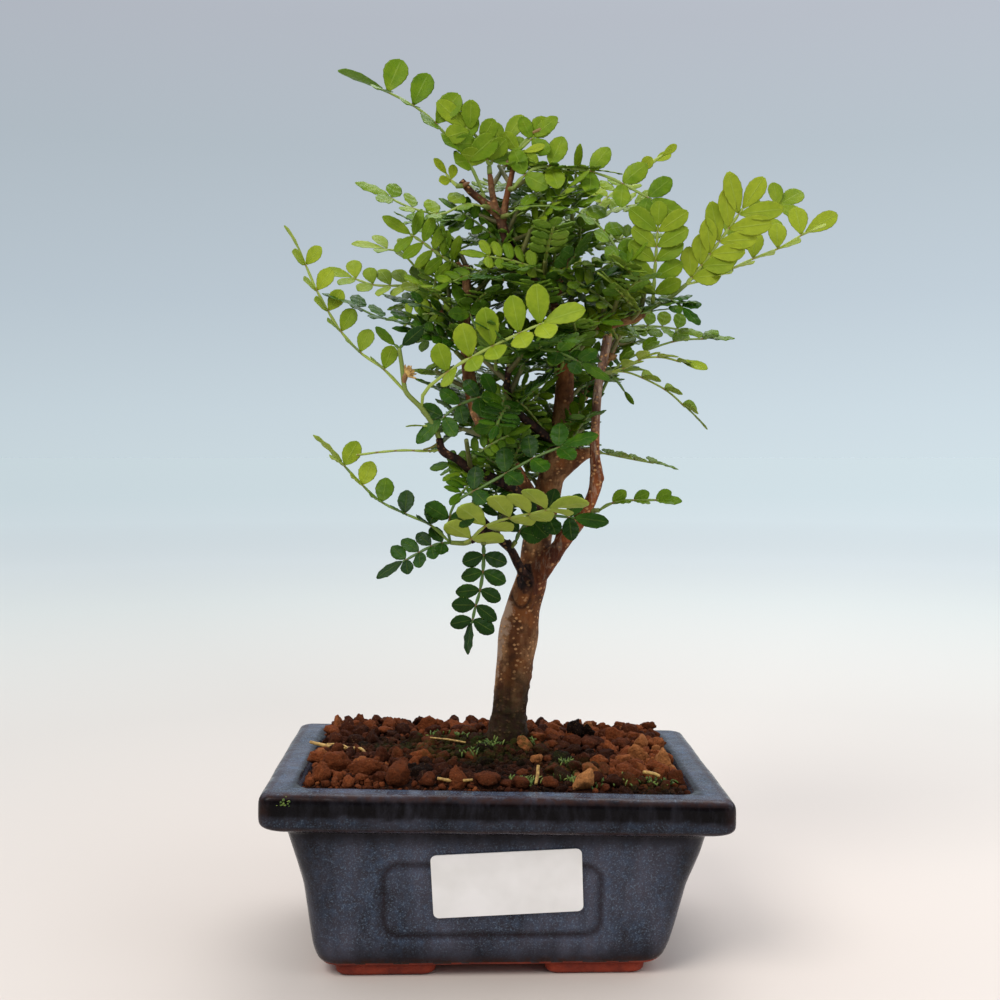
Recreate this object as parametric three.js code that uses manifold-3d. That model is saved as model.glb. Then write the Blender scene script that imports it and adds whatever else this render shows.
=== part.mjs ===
// Chinese pepper bonsai: a small Zanthoxylum tree with a pale spotted trunk, thin dark branches and
// shoots of feather-shaped leaves, growing in grainy soil in a blue glazed pot on four feet.
// Millimetres, +Z up, +Y to the back. The pieces are made round the middle of the pot's footprint.
import * as THREE from "three";
import { mergeVertices } from "three/addons/utils/BufferGeometryUtils.js";
import Module from "manifold-3d";

const wasm = await Module();
wasm.setup();

// Driving dimensions
const RIM_LENGTH = 131.5;
const RIM_DEPTH = 95;
const POT_HEIGHT = 55;
const FOOT_HEIGHT = 3.6;
const FLOOR_TOP = 9;
const GAP = 0.3; // clearance between neighbouring pieces
const TWIG_RADIUS = 0.85;
const TWIG_TAPER = 0.3; // share of the radius that a twig loses towards its end
const TRUNK_SIDES = 8;
const LIMB_SIDES = 5;
const TWIG_SIDES = 4;

// Compound leaves
const BLADE = 0.6; // thickness of a leaflet
const RIB_WIDTH = 1.2; // the winged midrib that the leaflets sit on
const RIB_THICKNESS = 1.1;
const RIB_TAPER = 0.3;
const YOUNG_TONE = 0.7; // leaves of this tone or higher are young
const YOUNG_LEAN = 0.55; // radians that a young leaf's leaflets lean towards its tip
const OLD_LEAN = 0.32;
const LEAFLET_FOLD = 14; // degrees that the leaflets of a pair rise from the leaf's plane
const LEAFLET_DROOP = 0.09; // how far a leaflet's tip bends down, against its length
const LEAFLET_WIDTH = 0.7; // against its length, where its neighbours leave room for it
const LEAFLET_ROOM = 0.94; // share of the distance between two pairs that a leaflet may fill
const LEAFLET_BASE = 0.3; // width at the rib, against the full width
const TIP_LENGTH = 1.35; // length of the leaflet at the tip, against the others
const FIRST_PAIR = 0.2; // place of the first pair on the rib, and of an only pair
const ONLY_PAIR = 0.45;
const GROW_MIDDLE = 0.6; // place on the rib where a leaflet has the leaf's usual length
const END_ROOM = 0.16; // rib left past the last pair, against the leaflet's length

// Leaflet outlines: how far along its length, and how wide there against its full width
const YOUNG_OUTLINE = [
  [0.56, 1],
  [1, 0.5],
];
const OLD_OUTLINE = [
  [0.6, 1],
  [1, 0],
];

// Bushy sprays: angles in radians between leaf and twig, and measures against the leaf's length
const GOLDEN_ANGLE = 2.4;
const BUSH = {
  twigLift: 0.1,
  open: 0.95,
  openSpread: 0.3,
  tipOpen: 0.25,
  pairRoom: 0.73,
  lengthSpread: 0.26,
  sag: 0.018,
  tilt: 62,
  tiltSpread: 50,
};

// The tables of the tree give x and z as they look from VIEW_POINT in the upright plane at y = VIEW_PLANE,
// beside the true y. Points in front of the plane are nearer to the eye, so they are really closer together.
const VIEW_POINT = [-9.1, -398.4, 149.7];
const VIEW_PLANE = 5;

// Pot wall from the underside up: height, insets from the rim's face in X and in Y, corner radius
const POT_OUTSIDE = [
  [FOOT_HEIGHT, 17.2, 14.6, 6],
  [4.8, 15.7, 13.2, 7.5],
  [8.5, 14.3, 12.2, 8],
  [17.5, 12.6, 10.6, 8],
  [27, 10.9, 9.2, 8],
  [36.5, 8, 7.4, 8],
  [43.6, 6.1, 6, 8],
  [44.8, 1.6, 1.6, 4],
  [46.4, 0, 0, 3],
  [53.4, 0, 0, 3],
  [54.6, 0.7, 0.7, 3],
];
const POT_INSIDE = [
  [POT_HEIGHT, 2.2, 2.2, 3],
  [POT_HEIGHT, 8.8, 8.8, 6],
  [53.6, 10.4, 10.4, 6],
  [40, 11.8, 11.8, 7],
  [24, 15.6, 14.6, 7],
  [FLOOR_TOP, 19.5, 17.4, 6],
];
const RIM_SLOPE = 0.025; // the hand-made rim drops this much for each millimetre to the right
const CORNER_STEPS = 2;
const FEET_SHIFT = -2; // the feet and the foot of the wall sit a little left of the pot's middle
const LEAN_TOP = 36.5; // height up to which the wall leans back to the middle
const FOOT_LENGTH = 29;
const FOOT_WIDTH = 13;
const FOOT_CENTRE_X = 30;
const FOOT_CENTRE_Y = 25.8;
const FOOT_CORNER = 3;
// Foot from the table up: height and inset
const FOOT_PROFILE = [
  [0, 1.6],
  [1, 0.3],
  [3, 0],
  [FOOT_HEIGHT + 1.6, 0.4],
];
const DRAIN_X = 24;
const DRAIN_RADIUS = 5.5;
const DRAIN_SIDES = 12;
const RIM_UNDERSIDE = 44;

// Framed panel on the front and back of the pot, and the blank label stuck over the front one
const PANEL = { x: -1.5, z: 23.4, length: 63.5, height: 23.5, corner: 6, groove: 2.4, depth: 0.7 };
const LABEL = { x: 2.6, z: 29, length: 42.2, height: 18.8, corner: 1.6, turn: 0.045, thickness: 0.4 };

// Soil: grains on a hexagonal net, level with the rim in front and heaped round the trunk
const NET_STEP = 5.9;
const ROW_STEP = NET_STEP * Math.sin(Math.PI / 3);
const GRAIN_SHIFT = 1.3; // how far a grain may stand from its place in the net
const GRAIN_HEIGHT = 1.9;
const SOIL_BOTTOM = FLOOR_TOP + GAP;
const SOIL_TOP = POT_HEIGHT + 12; // higher than any grain
const SOIL_EDGE = { inset: 10.4, sink: 1.4, from: -2, to: 5 };
const SOIL_RISE = 0.4;
const SOIL_SLOPE = 0.05; // rise towards the back for each millimetre
const HEAP = { height: 4.4, reachX: 20, reachY: 16 };
const TRUNK_FOOT = [3.6, 6];

// Plastic mesh over each drain hole
const MESH_SIZE = 20;
const MESH_THICKNESS = 0.8;
const MESH_BAR = 2.4;

// Wood: each limb's points x, y, z and radius, from its root to its end
const LIMBS = [
  [
    "trunk",
    [
      [3.6, 6, 30, 5], [3.6, 6, 52, 6.6], [4.2, 6, 61, 6.3], [4.8, 6, 70, 5.4], [6.2, 6, 82, 5.6],
      [7.5, 6, 93, 6.1], [8.7, 6, 100, 5.6], [10.8, 6, 107, 5.1], [12.3, 6, 114, 4.7],
      [13.4, 7, 123, 4.4], [15.6, 8, 133, 4.3], [18, 8, 143, 4], [20, 9, 152, 3.3], [21.3, 10, 163, 3],
      [22, 10, 175, 2.7], [21.4, 10, 186, 2.3], [17.5, 9, 195, 2.1], [11, 9, 203, 1.9],
      [6, 8, 210, 1.8], [3.2, 8, 217, 1.6], [0.9, 8, 223.5, 1.4],
    ],
  ],
  [
    "left_limb",
    [
      [14.5, 7, 127, 2.8], [9, 6, 138, 2.9], [3, 5, 149, 2.8], [-2.5, 5, 157, 2.7],
      [-6.2, 6, 165, 2.4], [-8, 7, 174, 2], [-9, 8, 185, 1.7], [-8.5, 9, 197, 1.5],
      [-8.8, 10, 207, 1.3],
    ],
  ],
  [
    "red_branch",
    [
      [12.5, 4, 108, 2.2], [16.5, 2, 115, 2.7], [22, 1, 122.5, 2.4], [27, 0, 129, 2.2],
      [30.6, -1, 136, 1.9], [31.8, -1, 142, 2.1], [31.2, -1, 149, 1.6], [31.4, -1, 158, 1.45],
      [32, -1, 168, 1.4], [33.6, -1, 177, 1.4], [35.2, -1, 185.5, 1.55],
    ],
  ],
  [
    "low_left",
    [
      [11.5, 3, 108.5, 1.4], [8, -2, 113.5, 1.4], [5.2, -5, 119, 1.35], [2, -8, 122, 1.25],
      [-0.8, -10, 126.2, 1.2], [-3, -12, 124.5, 1.2], [-7.5, -14, 121.8, 1.1],
    ],
  ],
  [
    "mid_left",
    [
      [13.5, 5, 130, 1.8], [6, -2, 138, 1.7], [-3, -7, 142.5, 1.6], [-8, -9, 144.5, 1.5],
      [-11.5, -10, 147.3, 1.35], [-16, -11, 149.8, 1.25], [-17.2, -11, 154, 1.1],
    ],
  ],
  ["right_stub", [[18, 8, 141, 3], [23, 8, 146, 2.9], [27, 9, 148.5, 2.2], [30.5, 10, 149.5, 1.5]]],
  [
    "right_upper",
    [
      [21.5, 10, 180, 1.8], [29, 8, 186, 1.7], [37, 6, 189.3, 1.5], [43, 4, 190.6, 1.4],
      [46.5, 3, 192.6, 1.2],
    ],
  ],
  ["top_stub", [[1.4, 8, 222, 1.3], [-3, 7, 226.2, 1.3], [-7, 6, 229.3, 1.2], [-10.3, 5, 233, 1.15]]],
  ["top_mid", [[1, 8, 222, 1.2], [-0.6, 8, 229, 1.05], [-1.4, 8, 235, 0.9]]],
  ["top_right", [[2.4, 8, 219, 1.2], [3.8, 8.5, 228, 1.05], [5.2, 8.5, 234, 0.95], [6, 8.5, 238.5, 1]]],
  [
    "front_mid",
    [[19.5, 7, 151, 1.6], [13, 2, 157, 1.4], [7, -3, 162, 1.3], [4, -6, 169, 1.15], [4.5, -7, 176, 1]],
  ],
  ["back_low", [[14.5, 9, 130, 2.2], [10, 18, 139, 1.9], [4, 27, 148, 1.6], [-3, 33, 157, 1.3]]],
  ["back_right", [[20.5, 11, 157, 2.1], [27, 20, 166, 1.8], [33, 28, 175, 1.5], [38, 33, 184, 1.2]]],
  ["back_top", [[21, 11, 183, 1.8], [19, 20, 194, 1.6], [21, 27, 205, 1.4], [25, 31, 215, 1.2]]],
  ["back_left", [[-8.6, 8, 181, 1.3], [-13, 16, 188, 1.2], [-18, 22, 195, 1.1]]],
];

// Knots, cut ends and short spurs: points x, y, z and radius
const STUBS = [
  [[2.5, 4, 150, 1.2], [5.4, 3, 152.6, 1.1], [7, 2.5, 156, 0.9]],
  [[18, 2, 116.5, 1], [20.6, 1.5, 115.9, 0.6]],
  [[19, 2, 119, 1.2], [20.4, 3, 126.5, 0.8]],
  [[31.5, -1, 141, 1.2], [34.2, -1.6, 141.5, 0.8]],
  [[4, -7, 119.6, 1], [4.9, -8.2, 122, 0.8]],
  [[-1, -11, 125.8, 1], [-6.5, -13, 132.4, 0.8]],
  [[-9, 10, 203, 1.2], [-11.5, 8, 208, 1]],
  [[-16, -11, 149.8, 0.9], [-24, -11.5, 149.6, 0.6], [-34, -12, 149.4, 0.5], [-42.5, -12, 148.8, 0.45]],
];

// Sprays: name, limb, place on it, points of the twig, and leaves. A leaf has the twig point that it
// starts at, its pairs of leaflets, leaflet length, tilt in degrees, tone (0 old, 1 young) and rib,
// and in some a shape: fold and roll of the tip leaflet in degrees, lean in radians, place of the
// first pair, how much the leaflets grow along the rib, and the tip leaflet's length and the
// width of the leaflets against their length. A leaf of no pairs has only its tip leaflet.
const SPRAYS = [
  [
    "spray_top_left", "top_stub", 0.35, [[-3.6, 6.6, 229.2]],
    [
      [
        1, 5, 10.6, 42, 0.78,
        [
          [-6.5, 6, 236], [-10, 5, 241.5], [-14.5, 4, 246.5], [-20, 3.5, 252.3], [-27, 3, 257],
          [-34.3, 3, 260.5],
        ],
        { fold: 40, lean: 0.12, first: 0.25, roll: 60 },
      ],
    ],
  ],
  [
    "spray_top_middle", "top_mid", 1, [[-1.6, 7.8, 237.5]],
    [
      [1, 3, 8.6, 0, 0.9, [[-2.8, 6.5, 241], [-5.2, 5, 246], [-8.8, 4, 249.3]]],
      [1, 2, 7.6, 20, 0.9, [[0.8, 9, 241], [3.4, 9.6, 245]]],
    ],
  ],
  [
    "spray_top_right", "top_right", 1, [[6.4, 8, 240.6]],
    [[1, 2, 7, 10, 0.6, [[9, 7, 243.6], [12.4, 6, 246.6]]]],
  ],
  [
    "spray_right_arch", "top_right", 0.45, [[5.8, 6.6, 230.6]],
    [
      [
        1, 5, 9, 18, 0.55,
        [
          [8.6, 6, 234], [14, 5.4, 237.3], [24.5, 4, 237], [34.5, 2.8, 234.5], [42, 2, 231],
          [48.8, 1, 227.3],
        ],
      ],
    ],
  ],
  [
    "spray_right_lower_arch", "trunk", 0.985, [[4.6, 4.6, 222.6]],
    [
      [
        1, 5, 8.2, 62, 0.4,
        [[9, 3, 225], [20, 0, 225.2], [29, -2, 222], [34.5, -3, 217], [38.5, -4, 211.5]],
      ],
    ],
  ],
  [
    "spray_left_high", "top_stub", 0.2, [[-3.4, 4, 225.2]],
    [
      [
        1, 4, 7.6, 58, 0.6,
        [[-9, 3, 225.8], [-16, 2, 222.8], [-22, 1, 223.6], [-28, 0, 225.6], [-32.6, 0, 228]],
      ],
    ],
  ],
  [
    "spray_young_tip", "top_stub", 0.86, [[-11.6, 3.4, 231.2]],
    [[1, 1, 4.6, 30, 1, [[-13.6, 2.6, 233.4], [-14.8, 2, 235]]]],
  ],
  [
    "spray_left_fan", "left_limb", 0.97, [[-11.4, 6, 206.6]],
    [[1, 5, 8, 4, 0.6, [[-14, 4, 208.4], [-18, 2, 211], [-22, 0.6, 214], [-26, 1, 216.6]]]],
  ],
  [
    "spray_left_far", "back_left", 1, [[-20, 23.4, 198]],
    [
      [1, 5, 7.4, 46, 0.75, [[-24, 23.6, 201], [-30, 24, 200.8], [-37, 24.4, 201], [-44, 25, 203.2]]],
      [1, 3, 7.6, 60, 0.7, [[-24, 21, 206], [-29, 19, 211], [-34, 18, 212]]],
    ],
  ],
  [
    "spray_left_glossy", "left_limb", 0.66, [[-12, 3, 180.6]],
    [
      [
        1, 5, 8, 70, 0.2,
        [[-15.6, 0, 183], [-21, -3, 187], [-28, -5, 189.5], [-36, -6, 191.3], [-43, -7, 194.6]],
      ],
    ],
  ],
  [
    "spray_left_dark", "left_limb", 0.76, [[-11.4, 4, 187.8]],
    [[1, 3, 6.6, 64, 0.15, [[-14, 2, 190.4], [-19, 0, 193.6], [-24.6, -1, 195.4]]]],
  ],
  [
    "spray_left_shoot", "mid_left", 1,
    [
      [-18.6, -11.6, 157.4], [-22.5, -13, 163], [-27, -13, 167.6], [-28, -13, 171],
      [-28.6, -13.6, 176.4], [-29.4, -14, 181.6],
    ],
    [
      [
        2, 5, 10.2, 32, 1,
        [
          [-21.3, -16, 168.6], [-12.5, -20, 175.6], [-6, -22, 179.4], [1, -24, 183], [9.4, -26, 187],
          [15.5, -27, 189.5],
        ],
        { fold: 37, lean: 0.25, first: 0.3, grow: 0.4, tip: 1.2 },
      ],
      [
        3, 6, 7.4, 60, 0.95,
        [
          [-34, -12, 175], [-41.5, -10, 180.4], [-47.5, -8, 187], [-51.5, -7, 193.5], [-55, -6, 200],
          [-58.5, -5, 208.2],
        ],
        { fold: 42, lean: 0.6, first: 0.17, tip: 1.7, roll: 60 },
      ],
      [6, 0, 8.4, 30, 0.05, [[-28.9, -14.2, 182], [-28.2, -14.6, 182.6]], { width: 0.5, tip: 1, roll: 35 }],
      [6, 0, 7.8, 30, 0.25, [[-30, -14.2, 182], [-30.8, -14.4, 182.7]], { width: 0.4, tip: 1, roll: -50 }],
    ],
  ],
  [
    "spray_low_shoot", "low_left", 1,
    [[-9.6, -14.8, 121.2], [-13.6, -16, 121.4]],
    [
      [
        1, 5, 10.4, 120, 0.95,
        [[-7.2, -18, 122.6], [-2.4, -22, 126.8], [5.8, -27, 129.4], [12, -31, 130.6], [17.5, -35, 132]],
        { lean: 0.05 },
      ],
      [
        2, 5, 7.8, 66, 0.5,
        [
          [-20, -15, 127], [-28, -13.4, 130.6], [-35.4, -12, 134.4], [-41.5, -11, 140],
          [-47.4, -10, 146.4],
        ],
        { fold: 36, lean: 0.5, tip: 1.55, roll: 60 },
      ],
      [2, 4, 6.4, 50, 0.1, [[-18, -17, 120.9], [-23, -18, 118.6], [-28.6, -19, 115.4]]],
      [
        2, 5, 8.2, 48, 0.2,
        [
          [-14.2, -19, 126], [-12.2, -22, 133.8], [-4, -24, 138.6], [3, -25, 142.6], [9, -26, 146],
          [15, -26.6, 149], [21.4, -27, 151.4],
        ],
      ],
    ],
  ],
  [
    "spray_hanging", "low_left", 0.84, [[-3.4, -13.6, 120.6]],
    [
      [
        1, 5, 6.8, 4, 0.1,
        [[-3.3, -14.6, 117.4], [-3.6, -15, 112], [-4.6, -15, 106], [-6, -15, 101], [-7, -15, 96.2]],
        { roll: 50 },
      ],
    ],
  ],
  [
    "spray_arched", "low_left", 0.36, [[6.6, -7.6, 121.6]],
    [[1, 4, 8, 30, 0.2, [[8.4, -9, 125.6], [12.6, -10, 129], [18, -11, 129.7], [25, -12, 129]]]],
  ],
  [
    "spray_right_low", "red_branch", 0.33, [[32.6, -2.4, 131.4]],
    [
      [
        1, 3, 5.4, 40, 0.15, [[36, -3, 133.4], [41, -3.4, 134.4], [46, -3.6, 134.6], [51.4, -4, 134.6]],
        { lean: 1.2, first: 0.3 },
      ],
    ],
  ],
  [
    "spray_right_middle", "red_branch", 0.86, [[36.4, -2, 174.4]],
    [
      [
        1, 4, 6.4, 75, 0.45, [[40.6, -3, 178], [48, -4, 181.4], [57, -5, 184.2], [66, -6, 184.8]],
        { fold: 20, lean: 0.9, tip: 1.4, roll: 10 },
      ],
      [
        1, 4, 6.2, 88, 0.8, [[41, -5, 176], [46, -9, 178.6], [52, -12, 179], [58, -15, 177.6]],
        { fold: 8, lean: 1, tip: 1.4, roll: 25 },
      ],
      [
        1, 4, 6.4, 75, 0.7, [[41, 0, 174.4], [47, 2, 172.2], [54, 4, 168.4], [59.4, 5, 163.6]],
        { fold: 20, lean: 0.87, tip: 1.6 },
      ],
    ],
  ],
  [
    "spray_right_shoot", "right_upper", 1,
    [[49, 2.4, 194.3], [54, 1.4, 197], [59.4, 0.6, 201.4]],
    [
      [
        1, 5, 9.8, 6, 0.9,
        [[49.4, 0, 200], [49.8, -1, 207], [50.2, -2, 213], [50.6, -3, 219.4]],
        { lean: 0.62, grow: 0.2, tip: 0.8 },
      ],
      [
        3, 6, 11.4, 4, 1, [[64, -1, 207], [68, -3, 212.4], [72.4, -5, 218.4], [77, -7, 225]],
        { lean: 0.8, first: 0.1, grow: 0.45, tip: 0.9 },
      ],
      [
        3, 5, 8.6, 52, 0.85,
        [[67, 1, 203.6], [74, 2, 206.6], [81, 3, 209.8], [89, 4, 213.1], [96.6, 5, 217.6]],
        { fold: 32, lean: 0.6, grow: 0.2, tip: 1.5, roll: 40 },
      ],
      [3, 4, 8.4, 16, 0.75, [[67, 6, 209], [75, 12, 216], [82, 16, 222], [88.4, 19, 226]]],
      [2, 2, 6.4, 64, 0.2, [[56.4, -2, 196], [58.6, -4, 194]]],
    ],
  ],
  [
    "spray_right_twig", "right_stub", 1, [[33, 10.6, 149.4]],
    [[1, 4, 6, 84, 0.4, [[37, 11.6, 148.6], [43, 12.6, 147.4], [49.6, 13.4, 146.2]]]],
  ],
  [
    "spray_centre", "front_mid", 0.62, [[3.4, -8.6, 167]],
    [
      [1, 4, 7, 30, 0.15, [[-1, -10, 167], [-6, -11, 166], [-12, -12, 163.4], [-16.6, -12.6, 159.4]]],
      [1, 3, 6.8, 10, 0.2, [[2.4, -11, 164], [1.4, -12, 160.4], [0.8, -12, 156.4]]],
    ],
  ],
  [
    "spray_centre_top", "front_mid", 1, [[4.7, -7.6, 178.4]],
    [
      [1, 4, 7.4, 50, 0.3, [[8, -11, 181], [14, -15, 181.4], [21, -18, 180], [27, -20, 177]]],
      [1, 3, 7, 55, 0.25, [[0, -6, 182], [-5, -5, 187], [-8, -4, 193]]],
    ],
  ],
];

// Bushy sprays inside and behind the crown: name, limb, place on it, direction, twig length, leaves,
// leaflet pairs, leaflet length, tone
const BUSHES = [
  ["bush_back_low", "back_low", 1, [-0.15, 0.5, 0.6], 11, 3, 3, 7.6, 0.3],
  ["bush_back_low_right", "back_low", 0.6, [0.7, 0.6, 0.2], 11, 2, 3, 7.2, 0.25],
  ["bush_back_right", "back_right", 1, [0.2, 0.7, 0.5], 12, 3, 3, 7.8, 0.45],
  ["bush_back_middle", "back_right", 0.55, [-0.3, 0.9, 0.2], 11, 2, 3, 7.4, 0.3],
  ["bush_back_top", "back_top", 1, [0.5, 0.2, 0.7], 12, 3, 3, 7.8, 0.6],
  ["bush_back_top_left", "back_top", 0.55, [-0.8, 0.4, 0.4], 12, 3, 3, 7.6, 0.4],
  ["bush_left_end", "left_limb", 1, [-0.3, 0.6, 0.7], 11, 3, 3, 7.6, 0.4],
  ["bush_left_low", "left_limb", 0.42, [-0.25, 0.9, 0.15], 9, 3, 3, 7.2, 0.2],
  ["bush_trunk_left", "trunk", 0.79, [-0.6, -0.6, 0.4], 11, 3, 3, 7.4, 0.3],
  ["bush_upper_front", "right_upper", 0.45, [0.15, -0.75, 0.55], 10, 3, 3, 7.4, 0.45],
  ["bush_crown_back", "trunk", 0.93, [0.7, 0.6, 0.3], 12, 3, 3, 7.8, 0.5],
  ["bush_stub", "right_stub", 0.7, [-0.7, 0.75, 0.3], 10, 3, 3, 7.2, 0.25],
];

const vec = (p) => new THREE.Vector3(p[0], p[1], p[2]);

// True place of a point of the tree's tables, which may carry a radius.
function fromView([x, y, z, ...rest]) {
  const share = (y - VIEW_POINT[1]) / (VIEW_PLANE - VIEW_POINT[1]);
  const spread = (value, axis) => VIEW_POINT[axis] + (value - VIEW_POINT[axis]) * share;
  return [spread(x, 0), y, spread(z, 2), ...rest];
}

// A number from 0 to 1 that looks random but depends only on n.
function wobble(n) {
  const s = Math.sin(n * 127.1 + 311.7) * 43758.5453;
  return s - Math.floor(s);
}

function toSolid(geometry) {
  const plain = new THREE.BufferGeometry();
  plain.setAttribute("position", geometry.getAttribute("position"));
  plain.setIndex(geometry.getIndex());
  const merged = mergeVertices(plain, 1e-4);
  const mesh = new wasm.Mesh({
    numProp: 3,
    vertProperties: merged.getAttribute("position").array,
    triVerts: new Uint32Array(merged.getIndex().array),
  });
  return new wasm.Manifold(mesh);
}

function toGeometry(solid) {
  const mesh = solid.getMesh();
  const geometry = new THREE.BufferGeometry();
  geometry.setAttribute("position", new THREE.BufferAttribute(mesh.vertProperties, mesh.numProp));
  geometry.setIndex(new THREE.BufferAttribute(mesh.triVerts, 1));
  return geometry;
}

// Closed mesh under construction: points with triangles, where a repeated point drops its triangle.
class Shell {
  constructor() {
    this.points = [];
    this.triangles = [];
  }

  add(point) {
    this.points.push(point);
    return this.points.length - 1;
  }

  triangle(a, b, c) {
    if (a !== b && b !== c && c !== a) this.triangles.push(a, b, c);
  }

  quad(a, b, c, d) {
    this.triangle(a, b, c);
    this.triangle(a, c, d);
  }

  // Skin between two rings of the same length. Sides named in open are left without a wall.
  band(near, far, open = []) {
    near.forEach((a, i) => {
      const next = (i + 1) % near.length;
      if (!open.includes(i)) this.quad(a, far[i], far[next], near[next]);
    });
  }

  // Flat end over a ring, facing back (start) or ahead (end).
  cap(ring, ahead) {
    for (let i = 1; i < ring.length - 1; i++) {
      if (ahead) this.triangle(ring[0], ring[i + 1], ring[i]);
      else this.triangle(ring[0], ring[i], ring[i + 1]);
    }
  }

  solid() {
    const geometry = new THREE.BufferGeometry().setFromPoints(this.points);
    geometry.setIndex(this.triangles);
    return toSolid(geometry);
  }
}

// Solid through a row of rings, each ring clockwise when seen from the row's far end.
function loft(rings) {
  const shell = new Shell();
  const rows = rings.map((ring) => ring.map((point) => shell.add(point)));
  rows.slice(1).forEach((row, i) => shell.band(rows[i], row));
  shell.cap(rows[0], false);
  shell.cap(rows[rows.length - 1], true);
  return shell.solid();
}

const joined = (solids) => solids.reduce((sum, solid) => sum.add(solid));

const biggestBody = (solid) =>
  solid.decompose().reduce((best, body) => (body.volume() > best.volume() ? body : best));

// Pot

// How far the pot's skewed upper part stands above its true level at x and z.
function rimLift(x, z) {
  return -RIM_SLOPE * x * Math.max(0, (z - FLOOR_TOP) / (POT_HEIGHT - FLOOR_TOP));
}

const wallShift = (z) => FEET_SHIFT * Math.max(0, 1 - z / LEAN_TOP);

// Rounded rectangle at height z whose sides lie the insets inside the rim's face.
function potRing(z, insetX, insetY, corner) {
  const halfX = RIM_LENGTH / 2 - insetX - corner;
  const halfY = RIM_DEPTH / 2 - insetY - corner;
  const ring = [];
  for (let quarter = 3; quarter >= 0; quarter--) {
    const signX = quarter === 0 || quarter === 3 ? 1 : -1;
    const signY = quarter < 2 ? 1 : -1;
    for (let step = CORNER_STEPS; step >= 0; step--) {
      const angle = ((quarter + step / CORNER_STEPS) * Math.PI) / 2;
      const x = signX * halfX + corner * Math.cos(angle) + wallShift(z);
      const y = signY * halfY + corner * Math.sin(angle);
      ring.push(new THREE.Vector3(x, y, z + rimLift(x, z)));
    }
  }
  return ring;
}

function potWall(profile, extra) {
  const rings = profile.map(([z, insetX, insetY, corner]) =>
    potRing(z, insetX - extra, insetY - extra, corner + extra),
  );
  return loft(rings);
}

// Outline of a rounded rectangle standing in the XZ plane, extruded along Y between two depths.
function uprightSlab(x, z, length, height, corner, turn, yFrom, yTo) {
  const left = -length / 2;
  const bottom = -height / 2;
  const shape = new THREE.Shape();
  shape.moveTo(left + corner, bottom);
  shape.absarc(-left - corner, bottom + corner, corner, -Math.PI / 2, 0);
  shape.absarc(-left - corner, -bottom - corner, corner, 0, Math.PI / 2);
  shape.absarc(left + corner, -bottom - corner, corner, Math.PI / 2, Math.PI);
  shape.absarc(left + corner, bottom + corner, corner, Math.PI, Math.PI * 1.5);
  const settings = { depth: yTo - yFrom, bevelEnabled: false, curveSegments: 2 };
  const slab = new THREE.ExtrudeGeometry(shape, settings);
  slab.rotateZ(turn);
  slab.rotateX(Math.PI / 2);
  slab.translate(x, yTo, z);
  return toSolid(slab);
}

// Groove frames on the front (-1) or back (1) wall, as deep as PANEL says below the glaze.
function panelGroove(wallCore, side) {
  const { x, z, length, height, corner, groove } = PANEL;
  const near = side < 0 ? -RIM_DEPTH / 2 : 0;
  const far = near + RIM_DEPTH / 2;
  const cut = 2 * groove;
  const outer = uprightSlab(x, z, length, height, corner, 0, near, far);
  const inner = uprightSlab(x, z, length - cut, height - cut, corner - groove, 0, near, far);
  return outer.subtract(inner).subtract(wallCore);
}

function foot(x, y) {
  const rings = FOOT_PROFILE.map(([z, inset]) => {
    const halfX = FOOT_LENGTH / 2 - inset;
    const halfY = FOOT_WIDTH / 2 - inset;
    const corners = [
      [halfX, FOOT_CORNER - halfY],
      [halfX - FOOT_CORNER, -halfY],
      [FOOT_CORNER - halfX, -halfY],
      [-halfX, FOOT_CORNER - halfY],
      [-halfX, halfY - FOOT_CORNER],
      [FOOT_CORNER - halfX, halfY],
      [halfX - FOOT_CORNER, halfY],
      [halfX, halfY - FOOT_CORNER],
    ];
    return corners.map(([cx, cy]) => new THREE.Vector3(x + cx, y + cy, z));
  });
  return loft(rings);
}

function pot() {
  let body = potWall([...POT_OUTSIDE, ...POT_INSIDE], 0);
  const core = potWall(POT_OUTSIDE, -PANEL.depth);
  body = body.subtract(panelGroove(core, -1)).subtract(panelGroove(core, 1));
  for (const x of [-FOOT_CENTRE_X, FOOT_CENTRE_X]) {
    for (const y of [-FOOT_CENTRE_Y, FOOT_CENTRE_Y]) body = body.add(foot(x + FEET_SHIFT, y));
  }
  for (const x of [-DRAIN_X, DRAIN_X]) {
    const hole = new THREE.CylinderGeometry(DRAIN_RADIUS, DRAIN_RADIUS, 3 * FLOOR_TOP, DRAIN_SIDES);
    hole.rotateX(Math.PI / 2);
    hole.translate(x, 0, 0);
    body = body.subtract(toSolid(hole));
  }
  return body;
}

function label() {
  const { x, z, length, height, corner, turn, thickness } = LABEL;
  const slab = uprightSlab(x, z, length, height, corner, turn, -RIM_DEPTH / 2, -RIM_DEPTH / 4);
  const wall = POT_OUTSIDE.filter(([level]) => level < RIM_UNDERSIDE);
  return slab.intersect(potWall(wall, GAP + thickness)).subtract(potWall(wall, GAP));
}

// Soil and drainage mesh

// Coarse plastic mesh over a drain hole: three bars across two.
function drainMesh(x) {
  const z = FLOOR_TOP + GAP + MESH_THICKNESS / 2;
  const reach = (MESH_SIZE - MESH_BAR) / 2;
  const bars = [];
  for (const shift of [-reach, 0, reach]) {
    bars.push(new THREE.BoxGeometry(MESH_SIZE, MESH_BAR, MESH_THICKNESS).translate(x, shift, z));
  }
  for (const shift of [-reach, reach]) {
    bars.push(new THREE.BoxGeometry(MESH_BAR, MESH_SIZE, MESH_THICKNESS).translate(x + shift, 0, z));
  }
  return joined(bars.map(toSolid));
}

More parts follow.
